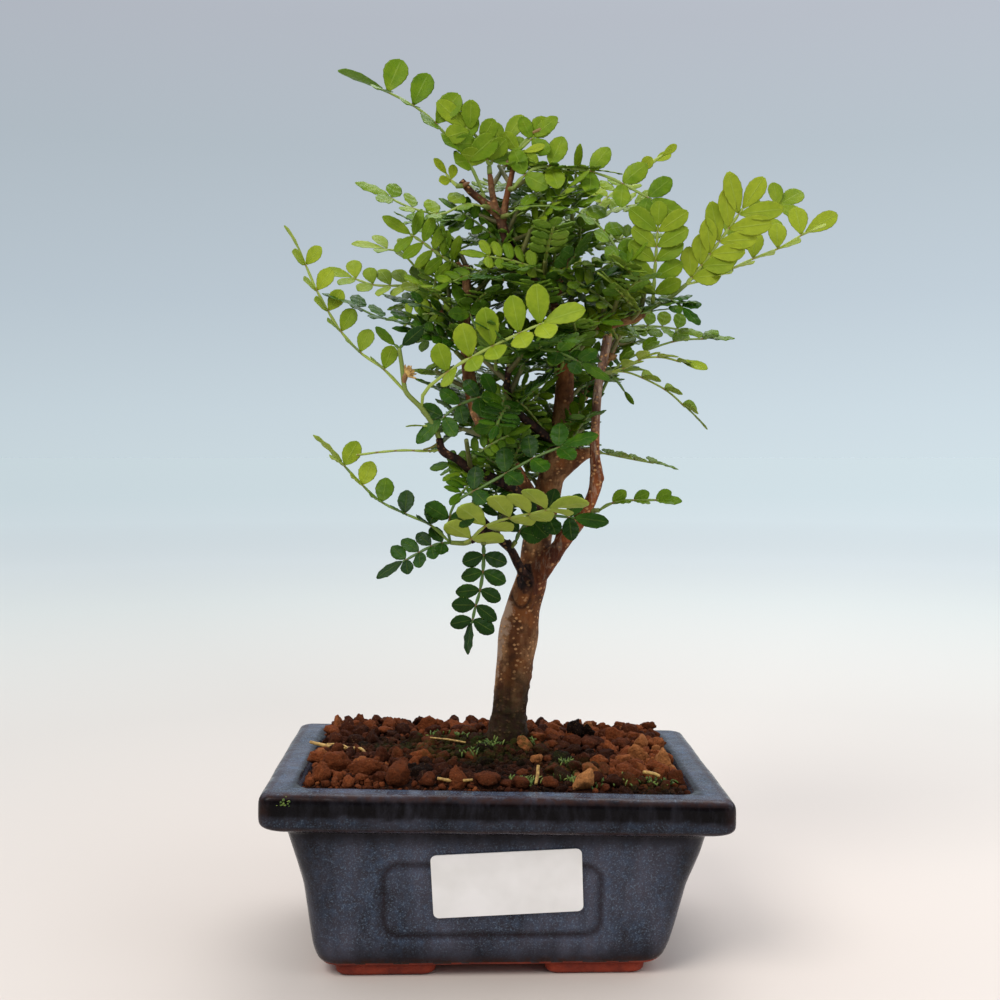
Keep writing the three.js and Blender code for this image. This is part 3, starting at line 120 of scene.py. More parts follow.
# Sprays: name, limb, place on it, points of the twig, then its leaves. A leaf has the twig's point that
# it starts from, pairs of leaflets, leaflet length, tilt, tone, its points, and shape values if it has any.
SPRAYS = [
    ["spray_top_left", "top_stub", 0.35, [[-3.6, 6.6, 229.2]], [
        [1, 5, 10.6, 42, 0.78, [[-6.5, 6, 236], [-10, 5, 241.5], [-14.5, 4, 246.5], [-20, 3.5, 252.3],
            [-27, 3, 257], [-34.3, 3, 260.5]], {"fold": 40, "lean": 0.12, "first": 0.25, "roll": 60}],
    ]],
    ["spray_top_middle", "top_mid", 1, [[-1.6, 7.8, 237.5]], [
        [1, 3, 8.6, 0, 0.9, [[-2.8, 6.5, 241], [-5.2, 5, 246], [-8.8, 4, 249.3]]],
        [1, 2, 7.6, 20, 0.9, [[0.8, 9, 241], [3.4, 9.6, 245]]],
    ]],
    ["spray_top_right", "top_right", 1, [[6.4, 8, 240.6]], [
        [1, 2, 7, 10, 0.6, [[9, 7, 243.6], [12.4, 6, 246.6]]],
    ]],
    ["spray_right_arch", "top_right", 0.45, [[5.8, 6.6, 230.6]], [
        [1, 5, 9, 18, 0.55, [[8.6, 6, 234], [14, 5.4, 237.3], [24.5, 4, 237], [34.5, 2.8, 234.5],
            [42, 2, 231], [48.8, 1, 227.3]]],
    ]],
    ["spray_right_lower_arch", "trunk", 0.985, [[4.6, 4.6, 222.6]], [
        [1, 5, 8.2, 62, 0.4, [[9, 3, 225], [20, 0, 225.2], [29, -2, 222], [34.5, -3, 217],
            [38.5, -4, 211.5]]],
    ]],
    ["spray_left_high", "top_stub", 0.2, [[-3.4, 4, 225.2]], [
        [1, 4, 7.6, 58, 0.6, [[-9, 3, 225.8], [-16, 2, 222.8], [-22, 1, 223.6], [-28, 0, 225.6],
            [-32.6, 0, 228]]],
    ]],
    ["spray_young_tip", "top_stub", 0.86, [[-11.6, 3.4, 231.2]], [
        [1, 1, 4.6, 30, 1, [[-13.6, 2.6, 233.4], [-14.8, 2, 235]]],
    ]],
    ["spray_left_fan", "left_limb", 0.97, [[-11.4, 6, 206.6]], [
        [1, 5, 8, 4, 0.6, [[-14, 4, 208.4], [-18, 2, 211], [-22, 0.6, 214], [-26, 1, 216.6]]],
    ]],
    ["spray_left_far", "back_left", 1, [[-20, 23.4, 198]], [
        [1, 5, 7.4, 46, 0.75, [[-24, 23.6, 201], [-30, 24, 200.8], [-37, 24.4, 201], [-44, 25, 203.2]]],
        [1, 3, 7.6, 60, 0.7, [[-24, 21, 206], [-29, 19, 211], [-34, 18, 212]]],
    ]],
    ["spray_left_glossy", "left_limb", 0.66, [[-12, 3, 180.6]], [
        [1, 5, 8, 70, 0.2, [[-15.6, 0, 183], [-21, -3, 187], [-28, -5, 189.5], [-36, -6, 191.3],
            [-43, -7, 194.6]]],
    ]],
    ["spray_left_dark", "left_limb", 0.76, [[-11.4, 4, 187.8]], [
        [1, 3, 6.6, 64, 0.15, [[-14, 2, 190.4], [-19, 0, 193.6], [-24.6, -1, 195.4]]],
    ]],
    ["spray_left_shoot", "mid_left", 1, [[-18.6, -11.6, 157.4], [-22.5, -13, 163], [-27, -13, 167.6],
        [-28, -13, 171], [-28.6, -13.6, 176.4], [-29.4, -14, 181.6]], [
        [2, 5, 10.2, 32, 1, [[-21.3, -16, 168.6], [-12.5, -20, 175.6], [-6, -22, 179.4], [1, -24, 183],
            [9.4, -26, 187], [15.5, -27, 189.5]],
            {"fold": 37, "lean": 0.25, "first": 0.3, "grow": 0.4, "tip": 1.2}],
        [3, 6, 7.4, 60, 0.95, [[-34, -12, 175], [-41.5, -10, 180.4], [-47.5, -8, 187], [-51.5, -7, 193.5],
            [-55, -6, 200], [-58.5, -5, 208.2]],
            {"fold": 42, "lean": 0.6, "first": 0.17, "tip": 1.7, "roll": 60}],
        [6, 0, 8.4, 30, 0.05, [[-28.9, -14.2, 182], [-28.2, -14.6, 182.6]],
            {"width": 0.5, "tip": 1, "roll": 35}],
        [6, 0, 7.8, 30, 0.25, [[-30, -14.2, 182], [-30.8, -14.4, 182.7]],
            {"width": 0.4, "tip": 1, "roll": -50}],
    ]],
    ["spray_low_shoot", "low_left", 1, [[-9.6, -14.8, 121.2], [-13.6, -16, 121.4]], [
        [1, 5, 10.4, 120, 0.95, [[-7.2, -18, 122.6], [-2.4, -22, 126.8], [5.8, -27, 129.4],
            [12, -31, 130.6], [17.5, -35, 132]], {"lean": 0.05}],
        [2, 5, 7.8, 66, 0.5, [[-20, -15, 127], [-28, -13.4, 130.6], [-35.4, -12, 134.4],
            [-41.5, -11, 140], [-47.4, -10, 146.4]], {"fold": 36, "lean": 0.5, "tip": 1.55, "roll": 60}],
        [2, 4, 6.4, 50, 0.1, [[-18, -17, 120.9], [-23, -18, 118.6], [-28.6, -19, 115.4]]],
        [2, 5, 8.2, 48, 0.2, [[-14.2, -19, 126], [-12.2, -22, 133.8], [-4, -24, 138.6], [3, -25, 142.6],
            [9, -26, 146], [15, -26.6, 149], [21.4, -27, 151.4]]],
    ]],
    ["spray_hanging", "low_left", 0.84, [[-3.4, -13.6, 120.6]], [
        [1, 5, 6.8, 4, 0.1, [[-3.3, -14.6, 117.4], [-3.6, -15, 112], [-4.6, -15, 106], [-6, -15, 101],
            [-7, -15, 96.2]], {"roll": 50}],
    ]],
    ["spray_arched", "low_left", 0.36, [[6.6, -7.6, 121.6]], [
        [1, 4, 8, 30, 0.2, [[8.4, -9, 125.6], [12.6, -10, 129], [18, -11, 129.7], [25, -12, 129]]],
    ]],
    ["spray_right_low", "red_branch", 0.33, [[32.6, -2.4, 131.4]], [
        [1, 3, 5.4, 40, 0.15, [[36, -3, 133.4], [41, -3.4, 134.4], [46, -3.6, 134.6], [51.4, -4, 134.6]],
            {"lean": 1.2, "first": 0.3}],
    ]],
    ["spray_right_middle", "red_branch", 0.86, [[36.4, -2, 174.4]], [
        [1, 4, 6.4, 75, 0.45, [[40.6, -3, 178], [48, -4, 181.4], [57, -5, 184.2], [66, -6, 184.8]],
            {"fold": 20, "lean": 0.9, "tip": 1.4, "roll": 10}],
        [1, 4, 6.2, 88, 0.8, [[41, -5, 176], [46, -9, 178.6], [52, -12, 179], [58, -15, 177.6]],
            {"fold": 8, "lean": 1, "tip": 1.4, "roll": 25}],
        [1, 4, 6.4, 75, 0.7, [[41, 0, 174.4], [47, 2, 172.2], [54, 4, 168.4], [59.4, 5, 163.6]],
            {"fold": 20, "lean": 0.87, "tip": 1.6}],
    ]],
    ["spray_right_shoot", "right_upper", 1, [[49, 2.4, 194.3], [54, 1.4, 197], [59.4, 0.6, 201.4]], [
        [1, 5, 9.8, 6, 0.9, [[49.4, 0, 200], [49.8, -1, 207], [50.2, -2, 213], [50.6, -3, 219.4]],
            {"lean": 0.62, "grow": 0.2, "tip": 0.8}],
        [3, 6, 11.4, 4, 1, [[64, -1, 207], [68, -3, 212.4], [72.4, -5, 218.4], [77, -7, 225]],
            {"lean": 0.8, "first": 0.1, "grow": 0.45, "tip": 0.9}],
        [3, 5, 8.6, 52, 0.85, [[67, 1, 203.6], [74, 2, 206.6], [81, 3, 209.8], [89, 4, 213.1],
            [96.6, 5, 217.6]], {"fold": 32, "lean": 0.6, "grow": 0.2, "tip": 1.5, "roll": 40}],
        [3, 4, 8.4, 16, 0.75, [[67, 6, 209], [75, 12, 216], [82, 16, 222], [88.4, 19, 226]]],
        [2, 2, 6.4, 64, 0.2, [[56.4, -2, 196], [58.6, -4, 194]]],
    ]],
    ["spray_right_twig", "right_stub", 1, [[33, 10.6, 149.4]], [
        [1, 4, 6, 84, 0.4, [[37, 11.6, 148.6], [43, 12.6, 147.4], [49.6, 13.4, 146.2]]],
    ]],
    ["spray_centre", "front_mid", 0.62, [[3.4, -8.6, 167]], [
        [1, 4, 7, 30, 0.15, [[-1, -10, 167], [-6, -11, 166], [-12, -12, 163.4], [-16.6, -12.6, 159.4]]],
        [1, 3, 6.8, 10, 0.2, [[2.4, -11, 164], [1.4, -12, 160.4], [0.8, -12, 156.4]]],
    ]],
    ["spray_centre_top", "front_mid", 1, [[4.7, -7.6, 178.4]], [
        [1, 4, 7.4, 50, 0.3, [[8, -11, 181], [14, -15, 181.4], [21, -18, 180], [27, -20, 177]]],
        [1, 3, 7, 55, 0.25, [[0, -6, 182], [-5, -5, 187], [-8, -4, 193]]],
    ]],
]
# Bushes in and behind the crown: name, limb, place on it, aim, reach, leaves, pairs, leaflet length, tone
BUSHES = [
    ["bush_back_low", "back_low", 1, [-0.15, 0.5, 0.6], 11, 3, 3, 7.6, 0.3],
    ["bush_back_low_right", "back_low", 0.6, [0.7, 0.6, 0.2], 11, 2, 3, 7.2, 0.25],
    ["bush_back_right", "back_right", 1, [0.2, 0.7, 0.5], 12, 3, 3, 7.8, 0.45],
    ["bush_back_middle", "back_right", 0.55, [-0.3, 0.9, 0.2], 11, 2, 3, 7.4, 0.3],
    ["bush_back_top", "back_top", 1, [0.5, 0.2, 0.7], 12, 3, 3, 7.8, 0.6],
    ["bush_back_top_left", "back_top", 0.55, [-0.8, 0.4, 0.4], 12, 3, 3, 7.6, 0.4],
    ["bush_left_end", "left_limb", 1, [-0.3, 0.6, 0.7], 11, 3, 3, 7.6, 0.4],
    ["bush_left_low", "left_limb", 0.42, [-0.25, 0.9, 0.15], 9, 3, 3, 7.2, 0.2],
    ["bush_trunk_left", "trunk", 0.79, [-0.6, -0.6, 0.4], 11, 3, 3, 7.4, 0.3],
    ["bush_upper_front", "right_upper", 0.45, [0.15, -0.75, 0.55], 10, 3, 3, 7.4, 0.45],
    ["bush_crown_back", "trunk", 0.93, [0.7, 0.6, 0.3], 12, 3, 3, 7.8, 0.5],
    ["bush_stub", "right_stub", 0.7, [-0.7, 0.75, 0.3], 10, 3, 3, 7.2, 0.25],
]
# How a bush's leaves stand. Openings are in radians, the tilt is in degrees.
BUSH = {
    "twig_lift": 0.1,
    "open": 0.95,
    "open_spread": 0.3,
    "tip_open": 0.25,
    "pair_room": 0.73,
    "length_spread": 0.26,
    "sag": 0.018,
    "tilt": 62,
    "tilt_spread": 50,
}
# Leaves with a colour of their own: spray and number of the leaf, tone at its base and at its tip
LEAF_TONES = {
    ("spray_top_left", 0): (0.46, 0.54),
    ("spray_top_middle", 0): (0.6, 0.66),
    ("spray_top_middle", 1): (0.55, 0.6),
    ("spray_left_shoot", 0): (0.74, 0.8),
    ("spray_left_shoot", 1): (0.7, 0.88),
    ("spray_left_glossy", 0): (0.1, 0.2),
    ("spray_low_shoot", 1): (0.02, 0.8),
    ("spray_low_shoot", 2): (0.0, 0.05),
    ("spray_low_shoot", 3): (0.1, 0.1),
    ("spray_hanging", 0): (-0.04, -0.04),
    ("spray_arched", 0): (0.05, 0.05),
    ("spray_right_low", 0): (0.42, 0.42),
    ("spray_right_shoot", 0): (0.66, 0.7),
    ("spray_right_shoot", 1): (0.84, 0.94),
    ("spray_right_shoot", 2): (0.92, 1.0),
    ("spray_right_twig", 0): (0.6, 0.6),
}
YOUNG_SPRAYS = (
    "spray_top_left", "spray_top_middle", "spray_young_tip", "spray_left_shoot", "spray_right_shoot",
)
GREEN_SPRAYS = (
    "spray_top_right", "spray_right_arch", "spray_left_far", "spray_left_high", "spray_left_fan",
    "spray_low_shoot", "spray_right_middle", "bush_back_top", "bush_crown_back",
)
# Outline of the crown's dense part as seen from the front, x and z
CROWN = [
    (-10, 226), (-6, 236), (2, 243), (14, 244), (30, 240), (44, 232), (52, 222), (54, 205), (50, 190),
    (44, 180), (40, 168), (30, 160), (28, 150), (30, 138), (22, 128), (8, 124), (-8, 122), (-14, 128),
    (-18, 138), (-20, 152), (-16, 166), (-28, 176), (-36, 188), (-34, 198), (-26, 206), (-28, 214),
    (-20, 222),
]
CROWN_AXIS = (10, 5)
# Places of the front view that no filling leaf covers, because wood shows there: x, z, radius
WINDOWS = [
    (1, 221, 6), (-6, 229, 6), (1, 231, 6), (20.4, 165.6, 5.5), (15.7, 143.9, 5.5),
    (25.1, 148.6, 5), (-4.5, 156.3, 5), (-7.5, 167.2, 5), (33, 172, 5), (34, 184, 5),
]
WINDOW_DEPTH = 9
# Leafy twigs that fill the crown: limb, first and last place on it, count, leaflet length, tone
FILLS = [
    ("trunk", 0.5, 0.98, 22, 7.2, 0.42),
    ("left_limb", 0.15, 0.98, 11, 6.8, 0.42),
    ("right_upper", 0.1, 0.95, 8, 7.4, 0.55),
    ("front_mid", 0.2, 1.0, 6, 6.6, 0.28),
    ("mid_left", 0.15, 0.75, 5, 6.4, 0.3),
    ("low_left", 0.15, 0.8, 4, 6.2, 0.2),
    ("back_low", 0.3, 1.0, 4, 6.8, 0.4),
    ("back_right", 0.3, 1.0, 5, 7.0, 0.5),
    ("back_top", 0.3, 1.0, 6, 7.4, 0.6),
    ("back_left", 0.4, 1.0, 3, 6.6, 0.5),
    ("right_stub", 0.3, 0.95, 3, 6.2, 0.3),
    ("top_right", 0.1, 0.9, 6, 7.6, 0.62),
    ("top_mid", 0.1, 0.9, 4, 7.4, 0.62),
    ("top_stub", 0.1, 0.6, 3, 6.8, 0.55),
]


def from_view(point):
    """True place of a point of the tree's tables, which may carry a radius."""
    x, y, z, *rest = point
    share = (y - VIEW_POINT[1]) / (VIEW_PLANE - VIEW_POINT[1])
    x = VIEW_POINT[0] + (x - VIEW_POINT[0]) * share
    z = VIEW_POINT[2] + (z - VIEW_POINT[2]) * share
    return (x, y, z, *rest)


def true_places(points):
    return [from_view(point) for point in points]


def wobble(n):
    """A number from 0 to 1 that looks random but depends only on n."""
    s = math.sin(n * 127.1 + 311.7) * 43758.5453
    return s - math.floor(s)


def smooth_step(value, low, high):
    share = max(0.0, min(1.0, (value - low) / (high - low)))
    return share * share * (3 - 2 * share)


def rough(x, y, z, scale, seed):
    """Smooth noise from -1 to 1 whose bumps are about scale millimetres wide."""
    return noise.noise(Vector((x / scale + seed, y / scale - seed, z / scale + 2 * seed)))


class Curve:
    """Smooth curve through points that may carry more numbers than three."""

    def __init__(self, points):
        self.points = [tuple(p) for p in points]

    def values(self, t):
        points = self.points
        last = len(points) - 1
        place = max(0.0, min(1.0, t)) * last
        i = min(int(place), last - 1)
        s = place - i
        here, there = points[i], points[i + 1]
        before = points[i - 1] if i else [2 * a - b for a, b in zip(here, there)]
        after = points[i + 2] if i + 2 <= last else [2 * b - a for a, b in zip(here, there)]
        out = []
        for a, b, c, d in zip(before, here, there, after):
            leave, arrive = (c - a) / 2, (d - b) / 2
            square = -3 * b + 3 * c - 2 * leave - arrive
            cube = 2 * b - 2 * c + leave + arrive
            out.append(b + s * (leave + s * (square + s * cube)))
        return out

    def at(self, t):
        return Vector(self.values(t)[:3])

    def direction(self, t):
        return (self.at(min(t + 0.01, 1)) - self.at(max(t - 0.01, 0))).normalized()

    def length(self, steps=60):
        spots = [self.at(i / steps) for i in range(steps + 1)]
        return sum((b - a).length for a, b in zip(spots, spots[1:]))


class Piece:
    """Points and faces of one piece. A mark is three numbers that its materials read at each point."""

    def __init__(self):
        self.points = []
        self.marks = []
        self.faces = []
        self.kinds = []

    def add(self, point, mark=(0, 0, 0)):
        self.points.append(point)
        self.marks.append(mark)
        return len(self.points) - 1

    def face(self, corners, kind=0):
        self.faces.append(corners)
        self.kinds.append(kind)

    def skin(self, rings, kind=0):
        """Closed skin over rings of the same length, with a flat end on the first and last ring."""
        for near, far in zip(rings, rings[1:]):
            for i in range(len(near)):
                j = (i + 1) % len(near)
                self.face((far[i], far[j], near[j], near[i]), kind)
        self.face(tuple(rings[0]), kind)
        self.face(tuple(reversed(rings[-1])), kind)

    def build(self, name, materials, slot, replaced=()):
        """Makes the object, which rides on the root body and may stand for solids of the CAD model."""
        mesh = bpy.data.meshes.new(name)
        spots = [(x * MM + SHIFT_X, y * MM + SHIFT_Y, z * MM) for x, y, z in self.points]
        mesh.from_pydata(spots, [], self.faces)
        give_materials(mesh, materials)
        mesh.polygons.foreach_set("material_index", self.kinds)
        mesh.polygons.foreach_set("use_smooth", [True] * len(self.faces))
        set_marks(mesh, self.marks)
        mesh.update()
        piece = add_object(name, mesh)
        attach(piece, "root")
        if replaced:
            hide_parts(*replaced)
        return piece


def add_object(name, data):
    made = bpy.data.objects.new(name, data)
    bpy.context.scene.collection.objects.link(made)
    return made


def give_materials(mesh, materials):
    mesh.materials.clear()
    for material in materials:
        mesh.materials.append(material)


def set_marks(mesh, marks):
    """Gives each point of a mesh the three numbers that its material reads."""
    layer = mesh.attributes.get("mark") or mesh.attributes.new("mark", "FLOAT_VECTOR", "POINT")
    layer.data.foreach_set("vector", [number for mark in marks for number in mark])


def to_pot(spot):
    """A mesh's point in metres as millimetres round the middle of the pot."""
    return (spot[0] - SHIFT_X) / MM, (spot[1] - SHIFT_Y) / MM, spot[2] / MM


def apply_modifiers(piece):
    """Puts the result of the modifiers into the piece's own mesh."""
    graph = bpy.context.evaluated_depsgraph_get()
    mesh = bpy.data.meshes.new_from_object(piece.evaluated_get(graph))
    piece.modifiers.clear()
    old = piece.data
    piece.data = mesh
    bpy.data.meshes.remove(old)


def tube(piece, curve, sides, steps, kind=0, mark=lambda t: (0, 0, 0)):
    """Closed tube whose radius is the fourth number of the curve's points."""
    up = Vector((0, -1, 0.2))
    rings = []
    for step in range(steps + 1):
        t = step / steps
        along = curve.direction(t)
        up = (up - along * up.dot(along)).normalized()
        side = along.cross(up)
        radius = max(0.05, curve.values(t)[3])
        centre = curve.at(t)
        ring = []
        for i in range(sides):
            turn = 2 * math.pi * i / sides
            spoke = up * math.cos(turn) - side * math.sin(turn)
            ring.append(piece.add(centre + spoke * radius, mark(t)))
        rings.append(ring)
    piece.skin(rings, kind)


class Nodes:
    """Node tree under construction."""

    def __init__(self, tree, place="Object"):
        self.tree = tree
        self.place = self.node("ShaderNodeTexCoord").outputs[place]

    def node(self, kind, **settings):
        made = self.tree.nodes.new(kind)
        for name, value in settings.items():
            setattr(made, name, value)
        return made

    def feed(self, socket, value):
        if isinstance(value, bpy.types.NodeSocket):
            self.tree.links.new(value, socket)
        else:
            socket.default_value = value

    def noise(self, size, detail=3.0, roughness=0.55, place=None):
        """Noise from 0 to 1 whose largest bumps are about size millimetres wide."""
        made = self.node("ShaderNodeTexNoise")
        self.feed(made.inputs["Vector"], place or self.place)
        made.inputs["Scale"].default_value = 1 / (size * MM)
        made.inputs["Detail"].default_value = detail
        made.inputs["Roughness"].default_value = roughness
        return made.outputs["Fac"]

    def cells(self, size, place=None):
        made = self.node("ShaderNodeTexVoronoi", feature="F1")
        self.feed(made.inputs["Vector"], place or self.place)
        made.inputs["Scale"].default_value = 1 / (size * MM)
        return made.outputs["Distance"]

    def scaled(self, scale):
        """The place with its axes scaled, for marks that run one way."""
        made = self.node("ShaderNodeVectorMath", operation="MULTIPLY")
        self.feed(made.inputs[0], self.place)
        made.inputs[1].default_value = scale
        return made.outputs[0]

    def math(self, operation, a, b=0.0):
        made = self.node("ShaderNodeMath", operation=operation)
        self.feed(made.inputs[0], a)
        self.feed(made.inputs[1], b)
        return made.outputs[0]

    def times(self, a, b):
        return self.math("MULTIPLY", a, b)

    def plus(self, a, b):
        return self.math("ADD", a, b)

    def wave(self, value):
        """Rises and falls between 0 and 0.5 once in each unit of the value."""
        return self.math("ABSOLUTE", self.math("SUBTRACT", self.math("FRACT", value), 0.5))

    def span(self, value, low, high, start=0.0, end=1.0):
        """Carries a value from the range low to high over to start to end, and stops at the ends."""
        made = self.node("ShaderNodeMapRange")
        for index, number in enumerate((value, low, high, start, end)):
            self.feed(made.inputs[index], number)
        return made.outputs[0]

    def ramp(self, value, stops):
        made = self.node("ShaderNodeValToRGB")
        self.feed(made.inputs["Fac"], value)
        elements = made.color_ramp.elements
        while len(elements) < len(stops):
            elements.new(0.5)
        for element, (position, colour) in zip(elements, stops):
            element.position = position
            element.color = (*linear(colour), 1)
        return made.outputs["Color"]

    def mix(self, factor, first, second):
        made = self.node("ShaderNodeMix", data_type="RGBA", clamp_factor=True)
        self.feed(made.inputs[0], factor)
        for socket, value in ((made.inputs[6], first), (made.inputs[7], second)):
            self.feed(socket, value if isinstance(value, bpy.types.NodeSocket) else (*linear(value), 1))
        return made.outputs[2]

    def split(self, vector):
        made = self.node("ShaderNodeSeparateXYZ")
        self.feed(made.inputs[0], vector)
        return made.outputs[0], made.outputs[1], made.outputs[2]


class Surface(Nodes):
    """Node material under construction."""

    def __init__(self, name):
        self.material = bpy.data.materials.new(name)
        self.material.use_nodes = True
        self.shader = self.material.node_tree.nodes["Principled BSDF"]
        super().__init__(self.material.node_tree)

    def height(self):
        """Height over the table in millimetres."""
        return self.times(self.split(self.place)[2], 1 / MM)

    def marks(self):
        """The three numbers of a point's mark."""
        return self.split(self.node("ShaderNodeAttribute", attribute_name="mark").outputs["Vector"])

    def bump(self, value, depth):
        """Raises the surface by the value times depth, in millimetres."""
        made = self.node("ShaderNodeBump")
        made.inputs["Strength"].default_value = 1.0
        made.inputs["Distance"].default_value = depth * MM
        self.feed(made.inputs["Height"], value)
        return made.outputs[0]

    def done(self, colour, roughness, normal=None, **fixed):
        """Connects the results. Fixed values are named like the shader's sockets."""
        self.feed(self.shader.inputs["Base Color"], colour)
        self.feed(self.shader.inputs["Roughness"], roughness)
        if normal:
            self.feed(self.shader.inputs["Normal"], normal)
        for name, value in fixed.items():
            self.shader.inputs[name.replace("_", " ")].default_value = value
        return self.material


def linear(colour):
    """Colour given as red, green and blue from 0 to 255, as the light values of the shader."""
    out = []
    for value in colour[:3]:
        share = value / 255
        out.append(share / 12.92 if share <= 0.04045 else ((share + 0.055) / 1.055) ** 2.4)
    return out


# Leaves

FINE_LEAFLET = (12, (-1, -0.86, -0.45, 0, 0.45, 0.86, 1))
PLAIN_LEAFLET = (7, (-1, -0.6, 0, 0.6, 1))
BLADE_HALF = 0.16
TOOTH_DEPTH = 0.05
TIP_NOTCH = 0.03
LEAF_TOP, LEAF_UNDER, STEM = 0, 1, 2
NODE_PINCH = 0.6
WING_REACH = 1.15
RIB_RISE, RIB_SINK = 0.22, 0.42
# How leaflets lean, narrow to the foot, crowd on the rib, cup, puff between veins and crease
YOUNG_LEAF = {
    "lean": 0.55, "foot": 1.35, "crowd": 1.3, "cup": 0.1, "cup_spread": 0, "puff": 0.02, "crease": 0.08,
}
OLD_LEAF = {
    "lean": 0.32, "foot": 1.12, "crowd": 1.1, "cup": -0.3, "cup_spread": 0.3, "puff": 0.07, "crease": 0.16,
}


def leaflet_width(s, foot):
    """Half width at s along a leaflet, against its full one. Young leaflets are widest past the middle."""
    body = math.sin(math.pi * s ** foot) if s < 1 else 0
    return max(0.14, body ** 0.54)


class Leaf:
    """Path, size and leaflet places of one compound leaf."""

    def __init__(self, points, pairs, leaflet, tilt, tone, shape=None):
        shape = shape or {}
        self.curve = Curve(points)
        self.length = self.curve.length()
        self.kind = YOUNG_LEAF if tone >= YOUNG_TONE else OLD_LEAF
        self.leaflet = leaflet
        self.tip = shape.get("tip", TIP_LENGTH)
        self.grow = shape.get("grow", 0)
        self.roll = math.radians(shape.get("roll", 0))
        self.tones = (tone, tone)
        self.tilt = math.radians(tilt)
        self.fold = math.radians(shape.get("fold", LEAFLET_FOLD))
        self.lean = shape.get("lean", self.kind["lean"])
        first = shape.get("first", FIRST_PAIR) if pairs > 1 else ONLY_PAIR
        last = 1 - END_ROOM * leaflet / self.length
        broad = spacing = shape.get("width", LEAFLET_WIDTH) * leaflet
        self.nodes = [first] if pairs else []
        if pairs > 1:
            spacing = (last - first) * self.length / (pairs - 1)
            self.nodes = [first + (last - first) * i / (pairs - 1) for i in range(pairs)]
        self.width = min(broad, self.kind["crowd"] * spacing)

    def frame(self, u):
        along = self.curve.direction(u)
        facing = Vector((0, -math.cos(self.tilt), math.sin(self.tilt)))
        up = (facing - along * facing.dot(along)).normalized()
        return self.curve.at(u), along, up, along.cross(up)


def leaflet_frame(leaf, u, side, seed, ragged):
    """Foot of a leaflet, its directions ahead, across and up, and its length."""
    root, along, up, across = leaf.frame(u)
    length = leaf.leaflet * (0.93 + 0.14 * wobble(seed))
    if side == 0:
        turn = Matrix.Rotation(leaf.roll, 3, along)
        ahead, across, up, length = along, turn @ -across, turn @ up, leaf.tip * length
    else:
        lean = leaf.lean + 0.2 * (wobble(seed + 1) - 0.5)
        length *= 1 + leaf.grow * (u - GROW_MIDDLE)
        ahead = across * (side * math.cos(lean)) + along * math.sin(lean)
        ahead = ahead * math.cos(leaf.fold) + up * math.sin(leaf.fold)
        root = root + across * (side * RIB_WIDTH * 0.3)
        across = (along - ahead * along.dot(ahead)).normalized()
        up = ahead.cross(across) * side
        across = across * side
    roll = Matrix.Rotation(ragged * (wobble(seed + 2) - 0.5), 3, ahead)
    return root, ahead, roll @ across, roll @ up, length


def close_leaflet(piece, over, under):
    """Faces of a leaflet from its rows of points on top and underneath."""
    for a, b, c, d in zip(over, over[1:], under, under[1:]):
        for i in range(len(a) - 1):
            piece.face((a[i], b[i], b[i + 1], a[i + 1]), LEAF_TOP)
            piece.face((c[i + 1], d[i + 1], d[i], c[i]), LEAF_UNDER)
    piece.face(tuple(over[0]) + tuple(reversed(under[0][1:-1])), LEAF_UNDER)
    piece.face(tuple(reversed(over[-1])) + tuple(under[-1][1:-1]), LEAF_UNDER)


def leaflet(piece, leaf, u, side, seed, ragged, detail):
    """One leaflet at u on the leaf's rib, to the side 1 or -1, or at its tip for 0."""
    root, ahead, across, up, length = leaflet_frame(leaf, u, side, seed, ragged)
    half_width = leaf.width / 2 * (0.94 + 0.12 * wobble(seed + 3))
    droop = LEAFLET_DROOP * (0.6 + 0.8 * wobble(seed + 4))
    cup = leaf.kind["cup"] + leaf.kind["cup_spread"] * wobble(seed + 5)
    puff, crease = leaf.kind["puff"], leaf.kind["crease"]
    twist = 0.35 * (wobble(seed + 6) - 0.5)
    low, high = leaf.tones
    tone = low + (high - low) * smooth_step(u, 0.3, 0.8) + 0.2 * (wobble(seed + 7) - 0.5)
    rows, columns = detail
    over, under = [], []
    for row in range(rows + 1):
        s = row / rows
        half = half_width * leaflet_width(s, leaf.kind["foot"])
        if row % 2 and 1 < row < rows:
            half *= 1 - TOOTH_DEPTH
        top, bottom = [], []
        for v in columns:
            reach = s - (TIP_NOTCH * (1 - abs(v)) if row == rows else 0)
            lift = cup * half * abs(v) ** 1.6 + twist * v * half * s - droop * length * reach * reach
            lift += half_width * (puff * math.cos(19 * s - 3 * abs(v)) * min(1, 4 * s) + crease * abs(v))
            centre = root + ahead * (reach * length) + across * (v * half) + up * lift
            mark = (s, v, tone)
            if abs(v) == 1:
                edge = piece.add(centre, mark)
                top.append(edge)
                bottom.append(edge)
            else:
                thick = BLADE_HALF * (1 - v * v) ** 0.5 * (0.7 + 0.5 * (v == 0))
                top.append(piece.add(centre + up * thick, mark))
                bottom.append(piece.add(centre - up * thick, mark))
        over.append(top)
        under.append(bottom)
    close_leaflet(piece, over, under)


